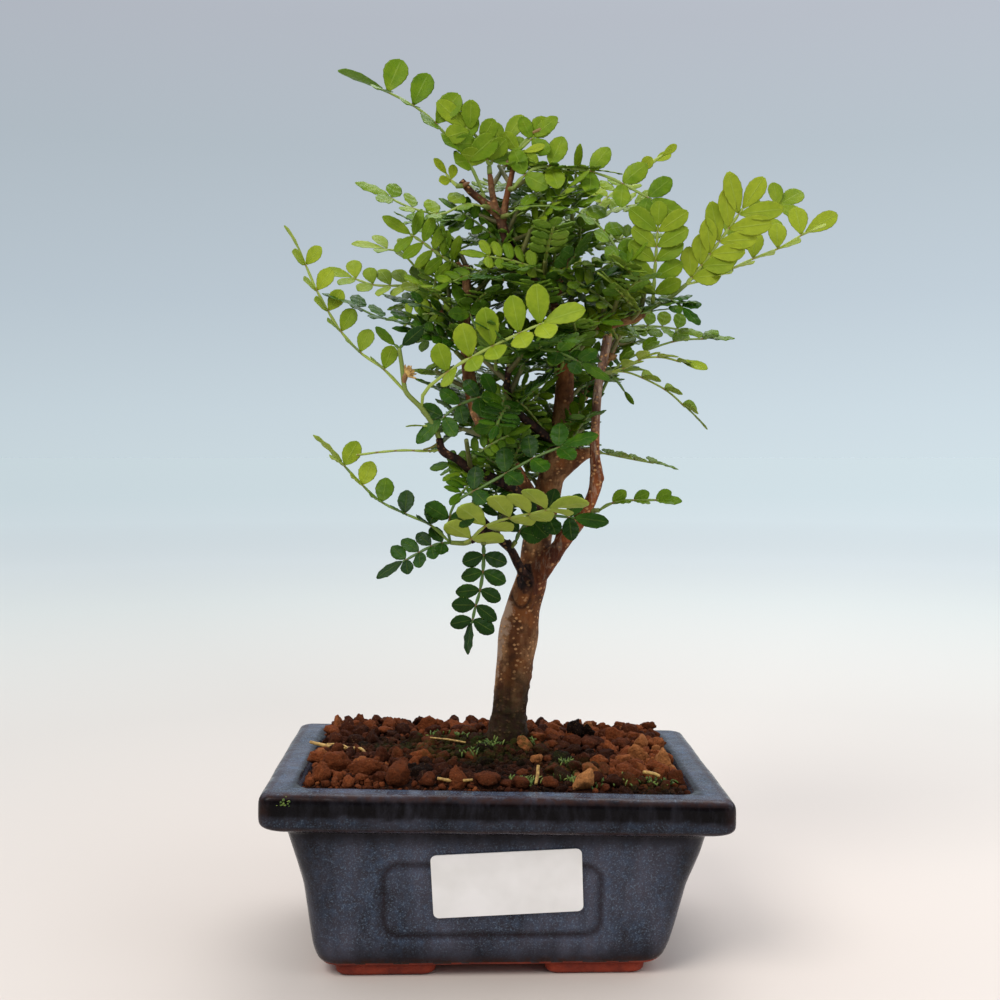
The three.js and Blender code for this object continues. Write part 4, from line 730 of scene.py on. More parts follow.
def rib(piece, leaf):
    """The leaf's winged midrib, pinched at each pair of leaflets."""
    bounds = [0.0] + leaf.nodes + [1.0]
    stations = []
    for near, far in zip(bounds, bounds[1:]):
        stations += [(near + (far - near) * f, f) for f in (0.0, 0.15, 0.4, 0.65, 0.88)]
    stations.append((1.0, 1.0))
    rings = []
    for u, f in stations:
        point, _, up, side = leaf.frame(u)
        wing = NODE_PINCH + (WING_REACH - NODE_PINCH) * math.sin(math.pi * f ** 1.4)
        half = RIB_WIDTH / 2 * (1 - RIB_TAPER * u) * (wing if u > 0 else 0.8)
        node = 1.0 if f == 0 and u > 0 else 0.0
        ring = []
        for i in range(8):
            turn = 2 * math.pi * i / 8
            rise = math.sin(turn)
            rise *= RIB_RISE if rise > 0 else RIB_SINK
            spot = point + side * (half * math.cos(turn)) + up * rise
            ring.append(piece.add(spot, (0, node, sum(leaf.tones) / 2)))
        rings.append(ring)
    piece.skin(rings, STEM)


def grow_leaf(piece, leaf, seed, ragged=0.3, detail=FINE_LEAFLET):
    rib(piece, leaf)
    for i, u in enumerate(leaf.nodes):
        for side in (-1, 1):
            leaflet(piece, leaf, u, side, seed + 3.1 * i + side, ragged, detail)
    leaflet(piece, leaf, 1.0, 0, seed + 50, ragged / 2, detail)


def twig(piece, stem, brown, tone=0.5):
    count = len(stem)
    points = [(*p[:3], TWIG_RADIUS * (1 - TWIG_TAPER * i / count)) for i, p in enumerate(stem)]
    mark = lambda t: (brown * (1 - 0.35 * t), 0, tone)
    tube(piece, Curve(points), 8, 5 * (count - 1), STEM, mark)


limb_curves = {name: Curve(true_places(points)) for name, points in LIMBS}


def build_leaves(piece, name):
    """Makes the piece that stands for the leafy solid of this name."""
    slot = "leaf_young" if name in YOUNG_SPRAYS else "leaf_green" if name in GREEN_SPRAYS else "leaf_old"
    piece.build(f"{name}_fine", LEAF_MATERIALS, slot, (name,))


def spray(row):
    """Twig out of a limb with the leaves that its row lists. It stands for the solid of the same name."""
    name, limb, u, twig_points, leaves = row
    piece = Piece()
    stem = [tuple(limb_curves[limb].at(u))] + true_places(twig_points)
    tone = leaves[0][4]
    twig(piece, stem, 0.55 if tone < YOUNG_TONE else 0.25)
    for i, (start, pairs, size, tilt, tone, points, *shape) in enumerate(leaves):
        path = [stem[start]] + true_places(points)
        leaf = Leaf(path, pairs, size, tilt, tone, *shape)
        leaf.tones = LEAF_TONES.get((name, i), (tone, tone))
        grow_leaf(piece, leaf, 13 * i + 5 * u + size)
    build_leaves(piece, name)


def as_seen(point):
    """Where a true place looks to be, from the view point, in the upright plane at VIEW_PLANE."""
    share = (VIEW_PLANE - VIEW_POINT[1]) / (point[1] - VIEW_POINT[1])
    x = VIEW_POINT[0] + (point[0] - VIEW_POINT[0]) * share
    z = VIEW_POINT[2] + (point[2] - VIEW_POINT[2]) * share
    return x, z


def in_crown(point):
    """Tells whether a place lies inside the crown's dense part."""
    x, z = as_seen(point)
    inside = False
    for (ax, az), (bx, bz) in zip(CROWN, CROWN[1:] + CROWN[:1]):
        if (az > z) != (bz > z) and x < ax + (bx - ax) * (z - az) / (bz - az):
            inside = not inside
    return inside


def hides_wood(point):
    """Tells whether a leaf there would cover wood that shows in the front view."""
    x, z = as_seen(point)
    return point[1] < WINDOW_DEPTH and any(math.hypot(x - a, z - b) < radius for a, b, radius in WINDOWS)


def fits_crown(points):
    return in_crown(points[-1]) and in_crown(points[1]) and not any(map(hides_wood, points))


def bent_path(start, ahead, length, bend):
    """Four places in a row that rise ever faster, or sag where the bend is below zero."""
    points = []
    for k in range(4):
        point = start + ahead * (length * k / 3)
        point.z += bend * k * k
        points.append(tuple(point))
    return points


def bush(piece, root, aim, reach, count, pairs, size, tone, key, extra=1, ragged=0.5, fill=False):
    """Twig whose leaves stand round it by the golden angle. The key sets its chance numbers."""
    ahead = Vector(aim).normalized()
    cross = Vector((0, 0, 1)).cross(ahead).normalized()
    lift = ahead.cross(cross)
    stem = bent_path(root, ahead, reach, BUSH["twig_lift"])
    grown = 0
    for i in range(count):
        n = key + 7 * i + reach
        is_tip = i == count - 1
        turn = i * GOLDEN_ANGLE + wobble(n)
        open_angle = BUSH["tip_open"] if is_tip else BUSH["open"] + BUSH["open_spread"] * wobble(n + 1)
        out = ahead * math.cos(open_angle)
        out += cross * (math.sin(open_angle) * math.cos(turn))
        out += lift * (math.sin(open_angle) * math.sin(turn))
        length = pairs * size * (BUSH["pair_room"] + BUSH["length_spread"] * wobble(n + 2))
        start = Vector(stem[3 if is_tip else 1 + i % 2])
        points = bent_path(start, out, length, -BUSH["sag"] * length)
        tilt = BUSH["tilt"] + BUSH["tilt_spread"] * (wobble(n + 3) - 0.5)
        leaf_tone = tone + 0.25 * (wobble(n + 4) - 0.5)
        leaf = Leaf(points, pairs + extra, size * (1 - 0.08 * extra), tilt, leaf_tone)
        if fill and not fits_crown(points):
            continue
        grow_leaf(piece, leaf, n, ragged, PLAIN_LEAFLET if fill else FINE_LEAFLET)
        grown += 1
    if grown:
        twig(piece, stem, 0.8, tone)


def fill_crown():
    """Small leafy twigs along the limbs, which close the crown."""
    for key, (limb, first, last, count, size, tone) in enumerate(FILLS):
        curve = limb_curves[limb]
        piece = Piece()
        for i in range(count):
            n = 31 * key + 3.7 * i
            u = first + (last - first) * (i + 0.6 * wobble(n)) / max(1, count - 0.4)
            along = curve.direction(min(1, u))
            side = along.cross(Vector((0.3, 1, 0.1))).normalized()
            turn = i * GOLDEN_ANGLE + key
            aim = side * math.cos(turn) + along.cross(side) * math.sin(turn) + along * 0.5
            root = curve.at(min(1, u))
            aim += Vector(((root.x - CROWN_AXIS[0]) * 0.012, (root.y - CROWN_AXIS[1]) * 0.012, 0.25))
            reach = 6 + 7 * wobble(n + 1)
            if in_crown(root + aim.normalized() * reach):
                shade = tone + 0.3 * (wobble(n + 2) - 0.5)
                bush(piece, root, aim, reach, 3, 3, size, shade, n, 2, 0.9, True)
        if piece.points:
            piece.build(f"leaves_{limb}", LEAF_MATERIALS, "leaf_green" if tone > 0.4 else "leaf_old")


# Materials


def leaf_surface(name, oldest, old, green, young, vein, edge, rough_old, rough_young, wrinkle):
    """Leaflet skin. A mark holds the place along and across a leaflet, and its tone from old to young."""
    made = Surface(name)
    along, across, tone = made.marks()
    aside = made.math("ABSOLUTE", across)
    patch = made.noise(5, 3)
    shade = made.plus(tone, made.span(patch, 0.3, 0.7, -0.1, 0.1))
    base = made.ramp(shade, [(0.0, oldest), (0.2, old), (0.5, green), (0.95, young)])
    blotch = made.span(made.noise(1.6, 4), 0.35, 0.7, 0.0, 0.35)
    base = made.mix(blotch, base, made.mix(0.5, base, old))
    slant = made.math("SUBTRACT", made.times(along, 8.0), made.times(aside, 2.2))
    ripple = made.wave(slant)
    side_vein = made.times(made.span(ripple, 0.0, 0.1, 1.0, 0.0), made.span(aside, 0.95, 0.6))
    midrib = made.span(aside, 0.03, 0.09, 1.0, 0.0)
    veins = made.math("MAXIMUM", midrib, made.times(side_vein, 0.35))
    contrast = made.span(tone, 0.3, 0.8, 0.12, 0.35)
    colour = made.mix(made.times(veins, contrast), base, vein)
    teeth = made.wave(made.times(along, 7.0))
    dots = made.times(made.span(aside, 0.86, 0.93), made.span(teeth, 0.16, 0.06))
    colour = made.mix(made.times(dots, 0.4), colour, vein)
    rim = made.times(made.span(aside, 0.94, 1.0), made.span(tone, 0.3, 0.9, 0.1, 0.75))
    colour = made.mix(rim, colour, made.mix(0.5, base, edge))
    leather = made.noise(0.7, 2)
    wrinkles = made.times(leather, made.span(tone, 0.3, 0.8, wrinkle, 0.12 * wrinkle))
    relief = made.plus(made.times(veins, 0.6), wrinkles)
    rough_base = made.span(tone, 0.1, 0.8, rough_old, rough_young)
    roughness = made.plus(rough_base, made.span(leather, 0.3, 0.7, -0.07, 0.07))
    normal = made.bump(relief, 0.14)
    return made.done(colour, roughness, normal, Specular_IOR_Level=0.15)


def stem_surface():
    """Skin of midribs and twigs. A mark holds brownness, nearness to a joint, and tone."""
    made = Surface("stem_skin")
    brown, node, tone = made.marks()
    greens = [(0.0, (70, 98, 34)), (0.3, (96, 122, 42)), (0.7, (140, 156, 58)), (1.0, (162, 176, 74))]
    green = made.ramp(tone, greens)
    fleck = made.span(made.noise(0.9, 3), 0.35, 0.7)
    bark = made.mix(fleck, (70, 48, 34), (110, 82, 56))
    colour = made.mix(brown, green, bark)
    colour = made.mix(made.times(node, 0.75), colour, (128, 66, 40))
    roughness = made.span(fleck, 0, 1, 0.5, 0.65)
    normal = made.bump(made.noise(0.6, 3), 0.08)
    return made.done(colour, roughness, normal)


def bark_surface():
    """Bark. A mark holds redness, darkness, and dampness above zero or paler bark below it."""
    made = Surface("bark")
    red, dark, wetness = made.marks()
    damp = made.span(wetness, 0.0, 1.0)
    lengthways = made.scaled((1, 1, 0.22))

    def wood(size, detail, low, high, dark_wood, pale_wood):
        """Two tones of wood in streaks along the limb."""
        streaks = made.noise(size, detail, 0.6, lengthways)
        return made.mix(made.span(streaks, low, high), dark_wood, pale_wood)

    broad = made.span(made.noise(5, 4, 0.55, lengthways), 0.42, 0.6)
    colour = made.mix(broad, (98, 57, 30), (160, 116, 78))
    patch = made.span(made.noise(3.5, 5, 0.65), 0.46, 0.6)
    colour = made.mix(made.times(patch, 0.7), colour, (64, 35, 18))
    warm = made.span(made.noise(6, 3), 0.5, 0.62)
    colour = made.mix(made.times(warm, 0.6), colour, (142, 82, 40))
    flaky = made.span(made.noise(3, 5, 0.7), 0.3, 0.7, -0.55, 0.55)
    ragged = made.math("SUBTRACT", flaky, wetness)
    colour = made.mix(made.span(ragged, 0.35, 0.8, 0.0, 0.8), colour, (178, 148, 124))
    streak = made.span(made.noise(1.3, 5, 0.7, lengthways), 0.52, 0.62)
    red_wood = wood(2.5, 4, 0.4, 0.62, (84, 38, 18), (146, 80, 44))
    grey_wood = wood(2, 4, 0.4, 0.62, (104, 74, 60), (156, 126, 108))
    aloft = made.span(made.height(), 148, 166)
    red_wood = made.mix(aloft, red_wood, grey_wood)
    red_wood = made.mix(made.times(streak, made.span(aloft, 0, 1, 0.35, 0.8)), red_wood, (196, 172, 148))
    colour = made.mix(red, colour, red_wood)
    black_wood = wood(1.6, 4, 0.45, 0.65, (26, 16, 14), (60, 36, 28))
    colour = made.mix(dark, colour, black_wood)
    pores = made.cells(1.7, place=made.scaled((1, 1, 1.3)))
    rarity = made.span(made.noise(5, 2), 0.42, 0.54)
    pore = made.times(made.span(pores, 0.2, 0.36, 1.0, 0.0), rarity)
    pore = made.times(pore, made.span(dark, 0.2, 0.8, 1.0, 0.25))
    colour = made.mix(made.times(pore, 0.9), colour, (206, 150, 100))
    mossy = made.times(damp, made.span(made.noise(1.8, 4), 0.4, 0.6))
    wet = made.mix(made.times(damp, 0.9), colour, (28, 15, 8))
    colour = made.mix(made.times(mossy, 0.15), wet, (62, 72, 24))
    grain = made.noise(1.1, 5, 0.7)
    relief = made.plus(made.times(grain, 0.8), made.times(pore, 0.5))
    roughness = made.span(grain, 0.3, 0.7, 0.6, 0.85)
    return made.done(colour, roughness, made.bump(relief, 0.5), Specular_IOR_Level=0.15)


def glaze_surface():
    """Pot. A mark holds where the glaze is thin, where it is speckled, and where it is dark, from glaze
    pooling and from painted shade under the rim.
    """
    made = Surface("blue_glaze")
    thin, speckled, pooling_and_shade = made.marks()
    runs = made.scaled((1, 1, 0.3))
    cloud = made.span(made.noise(13, 5, 0.62, runs), 0.36, 0.66)
    colour = made.mix(cloud, (44, 42, 48), (78, 76, 87))
    mist = made.span(made.noise(2.4, 6, 0.78), 0.42, 0.66)
    mist = made.times(mist, made.span(made.noise(6, 4, 0.6, runs), 0.36, 0.6, 0.25, 1.0))
    colour = made.mix(made.times(mist, made.span(speckled, 0, 1, 0.04, 0.7)), colour, (74, 94, 120))
    grain = made.span(made.noise(0.5, 4, 0.75), 0.53, 0.66)
    grain = made.times(grain, made.span(speckled, 0, 1, 0.05, 0.7))
    colour = made.mix(grain, colour, (124, 144, 164))
    # Near-black of pooling glaze, which on the wall under the rim is painted shade.
    dark = made.times(pooling_and_shade, made.span(made.noise(3.5, 5, 0.7, runs), 0.3, 0.55, 0.75, 1.0))
    colour = made.mix(dark, colour, (9, 6, 8))
    rust = made.times(thin, made.span(made.noise(2.4, 4), 0.3, 0.6))
    colour = made.mix(rust, colour, (56, 32, 22))
    pits = made.span(made.cells(2.2), 0.05, 0.14, 0.0, 1.0)
    relief = made.plus(made.times(pits, 0.12), made.noise(9, 2))
    rough = made.span(made.noise(3, 3), 0.3, 0.7, 0.16, 0.32)
    return made.done(colour, rough, made.bump(relief, 0.4), Specular_IOR_Level=0.08)


def plain_surface(name, tint, low, high, dark, light, grit, roughness, relief, **fixed):
    """Two tones in patches of the noise tint. The noise grit gives roughness and relief."""
    made = Surface(name)
    patch = made.span(made.noise(*tint), low, high)
    colour = made.mix(patch, dark, light)
    crumb = made.noise(*grit)
    return made.done(colour, made.span(crumb, 0.3, 0.7, *roughness), made.bump(crumb, relief), **fixed)


def grain_surface():
    """Soil grains. A mark holds a grain's tone, a number that no node reads, and its share of algae."""
    made = Surface("soil_grain")
    tone, _, algae = made.marks()
    browns = [(0.0, (20, 11, 6)), (0.3, (72, 33, 17)), (0.65, (146, 76, 40)), (1.0, (212, 144, 86))]
    base = made.ramp(tone, browns)
    mottle = made.span(made.noise(1.1, 5, 0.75), 0.38, 0.62)
    colour = made.mix(made.times(mottle, 0.7), base, made.mix(0.65, base, (30, 16, 10)))
    speck = made.span(made.noise(0.5, 3, 0.7), 0.6, 0.68)
    colour = made.mix(made.times(speck, 0.35), colour, made.mix(0.5, base, (208, 158, 108)))
    film = made.times(algae, made.span(made.noise(2.2, 4), 0.42, 0.6))
    colour = made.mix(made.times(film, 0.75), colour, (46, 60, 18))
    crumb = made.noise(0.8, 6, 0.8)
    relief = made.plus(crumb, made.times(made.cells(0.8), 0.5))
    roughness = made.span(crumb, 0.3, 0.7, 0.8, 0.98)
    return made.done(colour, roughness, made.bump(relief, 0.8), Specular_IOR_Level=0.1)


def moss_surface():
    made = Surface("moss")
    tone, tip, _ = made.marks()
    colour = made.ramp(tone, [(0.0, (44, 58, 16)), (0.6, (96, 122, 34)), (1.0, (160, 166, 76))])
    fleck = made.span(made.noise(0.8, 3), 0.3, 0.7)
    return made.done(made.mix(fleck, colour, (60, 84, 30)), made.span(tip, 0, 1, 0.8, 0.6))


def straw_surface():
    made = Surface("straw")
    fleck = made.span(made.noise(1.2, 4), 0.35, 0.65)
    colour = made.mix(fleck, (136, 98, 44), (204, 166, 92))
    return made.done(colour, made.span(fleck, 0, 1, 0.6, 0.72), made.bump(fleck, 0.1))


LEAF_MATERIALS = [
    leaf_surface(
        "leaf_top", (20, 48, 6), (44, 82, 6), (98, 127, 12), (150, 164, 36), (156, 174, 72),
        (96, 52, 36), 0.42, 0.55, 1.0,
    ),
    leaf_surface(
        "leaf_underside", (46, 78, 22), (62, 96, 26), (102, 134, 38), (158, 172, 66), (170, 184, 98),
        (110, 64, 44), 0.5, 0.6, 0.4,
    ),
    stem_surface(),
]
BARK = bark_surface()
GLAZE = glaze_surface()
CLAY = plain_surface(
    "bare_clay", (5, 4), 0.35, 0.65, (112, 32, 12), (150, 52, 24), (0.8, 4), (0.7, 0.9), 0.3,
)
PAPER = plain_surface(
    "label_paper", (9, 2), 0.3, 0.7, (243, 240, 237), (252, 249, 247), (0.9, 4), (0.5, 0.6), 0.02,
    Specular_IOR_Level=0.25,
)
PLASTIC = plain_surface(
    "mesh_plastic", (3, 3), 0.3, 0.7, (20, 24, 26), (42, 46, 46), (3, 3), (0.4, 0.6), 0.1,
)
GRAIN = grain_surface()
MOSS = moss_surface()
STRAW = straw_surface()


# Pot

RIM_SLOPE = 0.025
FEET_SHIFT = -2
LEAN_TOP = 36.5
FOOT_LENGTH, FOOT_WIDTH = 29, 13
FOOT_CENTRE_X, FOOT_CENTRE_Y = 30, 25.8
FOOT_CORNER = 3
DRAIN_X, DRAIN_RADIUS = 24, 5.5
RIM_UNDERSIDE, RIM_TOP = 44, 54
# Heights of the lines where the glaze is thin: the rim's two edges, and the foot of the walls
TOP_EDGE, LOW_EDGE, FOOT_LINE = 54.7, 45.2, 4.6
GLAZE_END = 4.3  # height under which the clay is bare
PANEL = {"x": -1.5, "z": 23.4, "length": 63.5, "height": 23.5, "corner": 6, "groove": 2.4, "depth": 0.7}
# Wall profile: height, insets from the rim's face in X and in Y, corner radius
POT_OUTSIDE = [
    (FOOT_HEIGHT, 17.2, 14.6, 6), (4.8, 15.7, 13.2, 7.5), (8.5, 14.3, 12.2, 8), (17.5, 12.6, 10.6, 8),
    (27, 10.9, 9.2, 8), (36.5, 8, 7.4, 8), (43.6, 6.1, 6, 8), (44.8, 1.6, 1.6, 4), (46.4, 0, 0, 3),
    (53.4, 0, 0, 3), (54.6, 0.7, 0.7, 3), (POT_HEIGHT, 2.2, 2.2, 3),
]
POT_INSIDE = [
    (POT_HEIGHT, 8.8, 8.8, 6), (53.6, 10.4, 10.4, 6), (40, 11.8, 11.8, 7), (24, 15.6, 14.6, 7),
    (FLOOR_TOP, 19.5, 17.4, 6),
]
CORNER_STEPS = 8
LONG_STEPS, SHORT_STEPS = 150, 36
PROFILE_STEP = 0.75
INNER_STEP = 2.5


def rim_lift(x, z):
    return -RIM_SLOPE * x * max(0, (z - FLOOR_TOP) / (POT_HEIGHT - FLOOR_TOP))


def wall_shift(z):
    """The wall's lower part leans towards the feet."""
    return FEET_SHIFT * max(0, 1 - z / LEAN_TOP)


def rounded_ring(half_x, half_y, corner, long_steps, short_steps, corner_steps=CORNER_STEPS):
    """Points x, y of a rounded rectangle, clockwise seen from above, from the front right corner."""
    ring = []
    sides = ((1, -1, long_steps), (-1, -1, short_steps), (-1, 1, long_steps), (1, 1, short_steps))
    for quarter, (sign_x, sign_y, steps) in enumerate(sides):
        for step in range(corner_steps + 1):
            angle = -math.pi / 2 * (quarter + step / corner_steps)
            x = sign_x * (half_x - corner) + corner * math.cos(angle)
            y = sign_y * (half_y - corner) + corner * math.sin(angle)
            ring.append((x, y))
        next_x, next_y, _ = sides[(quarter + 1) % 4]
        angle = -math.pi / 2 * (quarter + 1)
        end = (next_x * (half_x - corner) + corner * math.cos(angle),
               next_y * (half_y - corner) + corner * math.sin(angle))
        for step in range(1, steps):
            share = step / steps
            ring.append((x + (end[0] - x) * share, y + (end[1] - y) * share))
    return ring


def fine_profile(rows, step, passes):
    """Rows between the given ones about a step apart, with the corners rounded off."""
    fine = [rows[0]]
    for a, b in zip(rows, rows[1:]):
        distance = math.hypot(b[0] - a[0], b[1] - a[1])
        count = max(1, round(distance / step))
        for i in range(1, count + 1):
            fine.append(tuple(p + (q - p) * i / count for p, q in zip(a, b)))
    for _ in range(passes):
        threes = zip(fine, fine[1:], fine[2:])
        inner = [tuple((p + 2 * q + r) / 4 for p, q, r in zip(*three)) for three in threes]
        fine = [fine[0]] + inner + [fine[-1]]
    return fine


def panel_distance(x, z):
    """Distance from the middle line of the panel's groove, along the wall."""
    corner = PANEL["corner"]
    dx = abs(x - PANEL["x"]) - (PANEL["length"] / 2 - corner)
    dz = abs(z - PANEL["z"]) - (PANEL["height"] / 2 - corner)
    outside = math.hypot(max(dx, 0), max(dz, 0)) + min(max(dx, dz), 0)
    return abs(outside - corner + PANEL["groove"] / 2)


def groove_depth(x, z):
    share = panel_distance(x, z) / (PANEL["groove"] / 2 + 0.3)
    return PANEL["depth"] * (1 - smooth_step(share, 0.35, 1.0))


def add_wall_ring(piece, row, outside):
    z, inset_x, inset_y, corner = row
    half_y = RIM_DEPTH / 2 - inset_y
    spots = []
    for x, y in rounded_ring(RIM_LENGTH / 2 - inset_x, half_y, corner, LONG_STEPS, SHORT_STEPS):
        if outside and z < RIM_UNDERSIDE and abs(y) > half_y - 0.05:
            y -= math.copysign(groove_depth(x, z), y)
        uneven = 0.22 * rough(x, y, z, 16, 4.0) + 0.07 * rough(x, y, z, 4, 9.0)
        away = math.hypot(x, y) or 1.0
        level = z + rim_lift(x, z) + (0.12 * rough(x, y, z, 12, 2.0) if z > RIM_UNDERSIDE else 0)
        spots.append(piece.add((x + uneven * x / away + wall_shift(z), y + uneven * y / away, level)))
    return spots


def near_line(distance, reach):
    """Falls from 1 on a line to 0 at this reach from it."""
    return max(0.0, 1 - abs(distance) / reach)


def rim_face_glaze(x, y, level):
    """Speckled glaze on the rim's upright face, and dark pooling glaze where it has run down in drips."""
    drip = 0.9 * rough(x, y, 0, 5, 2.0) + 0.5 * rough(x, y, 0, 1.8, 6.0)
    speckled = (1 - smooth_step(level + drip, 46.8, 50)) * smooth_step(level, 44.6, 46.4)
    pooling_and_shade = smooth_step(level + drip, 47.4, 49.6) * (1 - 0.6 * smooth_step(level, 53.6, 54.6))
    return speckled, max(pooling_and_shade, 0.6, 0.8 * (1 - smooth_step(level, 45.2, 46.6)))


def wall_glaze_and_shade(x, level, groove):
    """Speckled glaze of the wall, with painted shade under the rim's overhang, and darker near the foot, at
    the sides and in the groove.
    """
    # Painted shade: just under the rim's overhang the wall is darkened and its pale speckle fades.
    under = smooth_step(level, 38, 44)
    side = smooth_step(abs(x) / 58, 0.72, 1.0)
    pooling_and_shade = max(0.85 * under, 0.7 * groove, 0.55 * side, 0.5 * (1 - smooth_step(level, 4, 11)))
    return 0.75 * (1 - under) * (1 - 0.6 * side) * smooth_step(level, 4, 14), pooling_and_shade


def rim_top_glaze(x, y, inset):
    """Speckled glaze on top of the rim, with darker pooling along its front and inner edge."""
    front = smooth_step(-y, 44, 50) * (1 - smooth_step(abs(x), 54, 60))
    return 1.0, max(0.65 * front, 0.9 * smooth_step(inset, 7.2, 8.8))


def glaze_marks(x, y, z):
    """Thin and speckled glaze at a place of the pot, and how dark it is from pooling and from painted shade.
    """
    level = z - rim_lift(x, z)
    inset = min(RIM_LENGTH / 2 - abs(x), RIM_DEPTH / 2 - abs(y))
    edge = near_line(level - TOP_EDGE, 1.5) * (1 - smooth_step(inset, 2.6, 4.4))
    low_edge = near_line(level - LOW_EDGE, 1.2) * (inset < 3)
    on_wall = level < RIM_UNDERSIDE and abs(y) > 20
    groove = near_line(panel_distance(x, level), 1.5) if on_wall and level > 8 else 0
    foot_line = near_line(level - FOOT_LINE, 2.2)
    corner = smooth_step(abs(x) / (RIM_LENGTH / 2), 0.93, 1.0)
    corner *= smooth_step(abs(y) / (RIM_DEPTH / 2), 0.9, 1.0)
    thin = min(1.0, 0.9 * edge + 0.7 * low_edge + 0.35 * groove + foot_line + 0.5 * corner)
    if level >= RIM_UNDERSIDE and inset < 1.2:
        return thin, *rim_face_glaze(x, y, level)
    if level < RIM_UNDERSIDE:
        return thin, *wall_glaze_and_shade(x, level, groove)
    if level > RIM_TOP:
        return thin, *rim_top_glaze(x, y, inset)
    return thin, 0.25, 0.0


def add_foot(piece, x, y):
    profile = fine_profile([(0, 1.6), (0.4, 0.8), (1, 0.3), (3, 0), (FOOT_HEIGHT + 1.6, 0.4)], 0.5, 2)
    rings = []
    for z, inset in profile:
        outline = rounded_ring(FOOT_LENGTH / 2 - inset, FOOT_WIDTH / 2 - inset, FOOT_CORNER, 14, 6, 5)
        rings.append([piece.add((x + px + 0.12 * rough(px, py, z, 3, x), y + py, z)) for px, py in outline])
    piece.skin(rings)


def build_shell():
    """Rim, walls and floor of the pot in one closed skin."""
    piece = Piece()
    rows = fine_profile(POT_OUTSIDE, PROFILE_STEP, 3)
    rings = [add_wall_ring(piece, row, True) for row in rows]
    lip = [POT_OUTSIDE[-1]] + POT_INSIDE[:2]
    rings += [add_wall_ring(piece, row, False) for row in fine_profile(lip, PROFILE_STEP, 2)[1:]]
    rings += [add_wall_ring(piece, row, False) for row in fine_profile(POT_INSIDE[1:], INNER_STEP, 1)[1:]]
    piece.skin(rings)
    return piece.build("pot_glazed", [GLAZE, CLAY], "blue_glaze", ("pot",))


def build_feet():
    piece = Piece()
    for x in (-FOOT_CENTRE_X, FOOT_CENTRE_X):
        for y in (-FOOT_CENTRE_Y, FOOT_CENTRE_Y):
            add_foot(piece, x + FEET_SHIFT, y)
    return piece.build("pot_feet", [GLAZE], "blue_glaze")


def build_drain_holes():
    piece = Piece()
    for x in (-DRAIN_X, DRAIN_X):
        column = Curve([(x, 0, -2, DRAIN_RADIUS), (x, 0, FLOOR_TOP + 3, DRAIN_RADIUS)])
        tube(piece, column, 32, 1)
    return piece.build("drain_holes", [GLAZE], "blue_glaze")


def build_pot():
    pot = build_shell()
    tools = {"UNION": build_feet(), "DIFFERENCE": build_drain_holes()}
    for operation, tool in tools.items():
        cut = pot.modifiers.new("shape", "BOOLEAN")
        cut.solver = "MANIFOLD"
        cut.operation = operation
        cut.object = tool
    apply_modifiers(pot)
    for tool in tools.values():
        bpy.data.objects.remove(tool)
    mesh = pot.data
    give_materials(mesh, [GLAZE, CLAY])
    for polygon in mesh.polygons:
        polygon.use_smooth = True
        x, y, z = to_pot(polygon.center)
        polygon.material_index = 1 if z < GLAZE_END + 0.4 * rough(x, y, z, 5, 3.0) else 0
    set_marks(mesh, [glaze_marks(*to_pot(vertex.co)) for vertex in mesh.vertices])


# Soil

SOIL_BOTTOM = FLOOR_TOP + GAP
SOIL_EDGE = {"inset": 10.4, "sink": 1.4, "from": -2, "to": 5}
SOIL_SHOULDER = (51.5, 10.6, 10.6, 6)  # last row of the soil's side, like the rows of the pot
SOIL_RISE = 0.4
SOIL_SLOPE = 0.05
HEAP = {"height": 4.4, "reach_x": 20, "reach_y": 16}
TRUNK_FOOT = (3.6, 6)
BED_RINGS = 34
# Patches of fine dark soil: middle, half widths, strength
DARK_PATCHES = [
    ((-36, 6), (20, 10), 0.9), ((-20, -24), (14, 10), 0.8), ((2, -18), (16, 14), 1.0),
    ((47, -38), (16, 7), 1.0), ((12, -30), (9, 12), 0.8), ((-4, 0), (16, 10), 0.9),
    ((26, -8), (10, 9), 0.7),
]
ALGAE_PATCHES = [
    ((-6, -2), (22, 11), 1.0), ((-22, 4), (16, 8), 0.7), ((22, -18), (10, 9), 0.7), ((44, -30), (8, 5), 0.6),
]
PALE_PATCHES = [((50, -8), (12, 20), 0.9), ((24, 28), (30, 12), 0.5), ((-38, -30), (26, 12), 0.35)]
# Single large grains of the photograph: x, y, size, tone
LARGE_GRAINS = [
    (51, -9, 7.2, 0.86), (9, -3.5, 5, 0.75), (12.5, -12, 4.6, 0.8), (24.5, -33, 7.4, 0.95),
    (28, -22, 5.6, 0.7), (-3, -32.5, 7, 0.42), (-11, -33, 6.2, 0.5), (-28, -32, 8, 0.45),
    (-47, -20, 7.5, 0.5), (-53, -12, 6.4, 0.6), (-38, -25, 7.4, 0.5), (-50, -30, 6.6, 0.55),
    (44, -4, 5.8, 0.8), (39, -10, 6, 0.72), (46, 6, 6.4, 0.78), (36, 2, 5.2, 0.66),
    (31, -12, 4.8, 0.66), (39, 17, 6.2, 0.6), (18, 18, 6, 0.66), (27, 24, 6.2, 0.62),
    (-22, 24, 6, 0.58), (-12, 22, 5, 0.55), (-34, 26, 5.6, 0.5), (-52, 20, 5.6, 0.55), (7, -33, 5, 0.4),
    (40, -24, 4.8, 0.5), (49, -20, 5.4, 0.6), (52, 10, 5.8, 0.7), (-20, -33, 5.4, 0.4),
    (15, -33, 4.6, 0.45),
]
# Scattered grains: count, smallest and largest size, fineness of their skin
GRAIN_KINDS = [(170, 3.6, 5.6, 3), (620, 2.0, 3.6, 2), (1500, 1.0, 2.0, 2)]
GRAIN_INSET = 11.2  # from the rim's face
GRAIN_ROOM = 0.43  # least distance of two grains against the sum of their sizes
TRIES_PER_GRAIN = 25


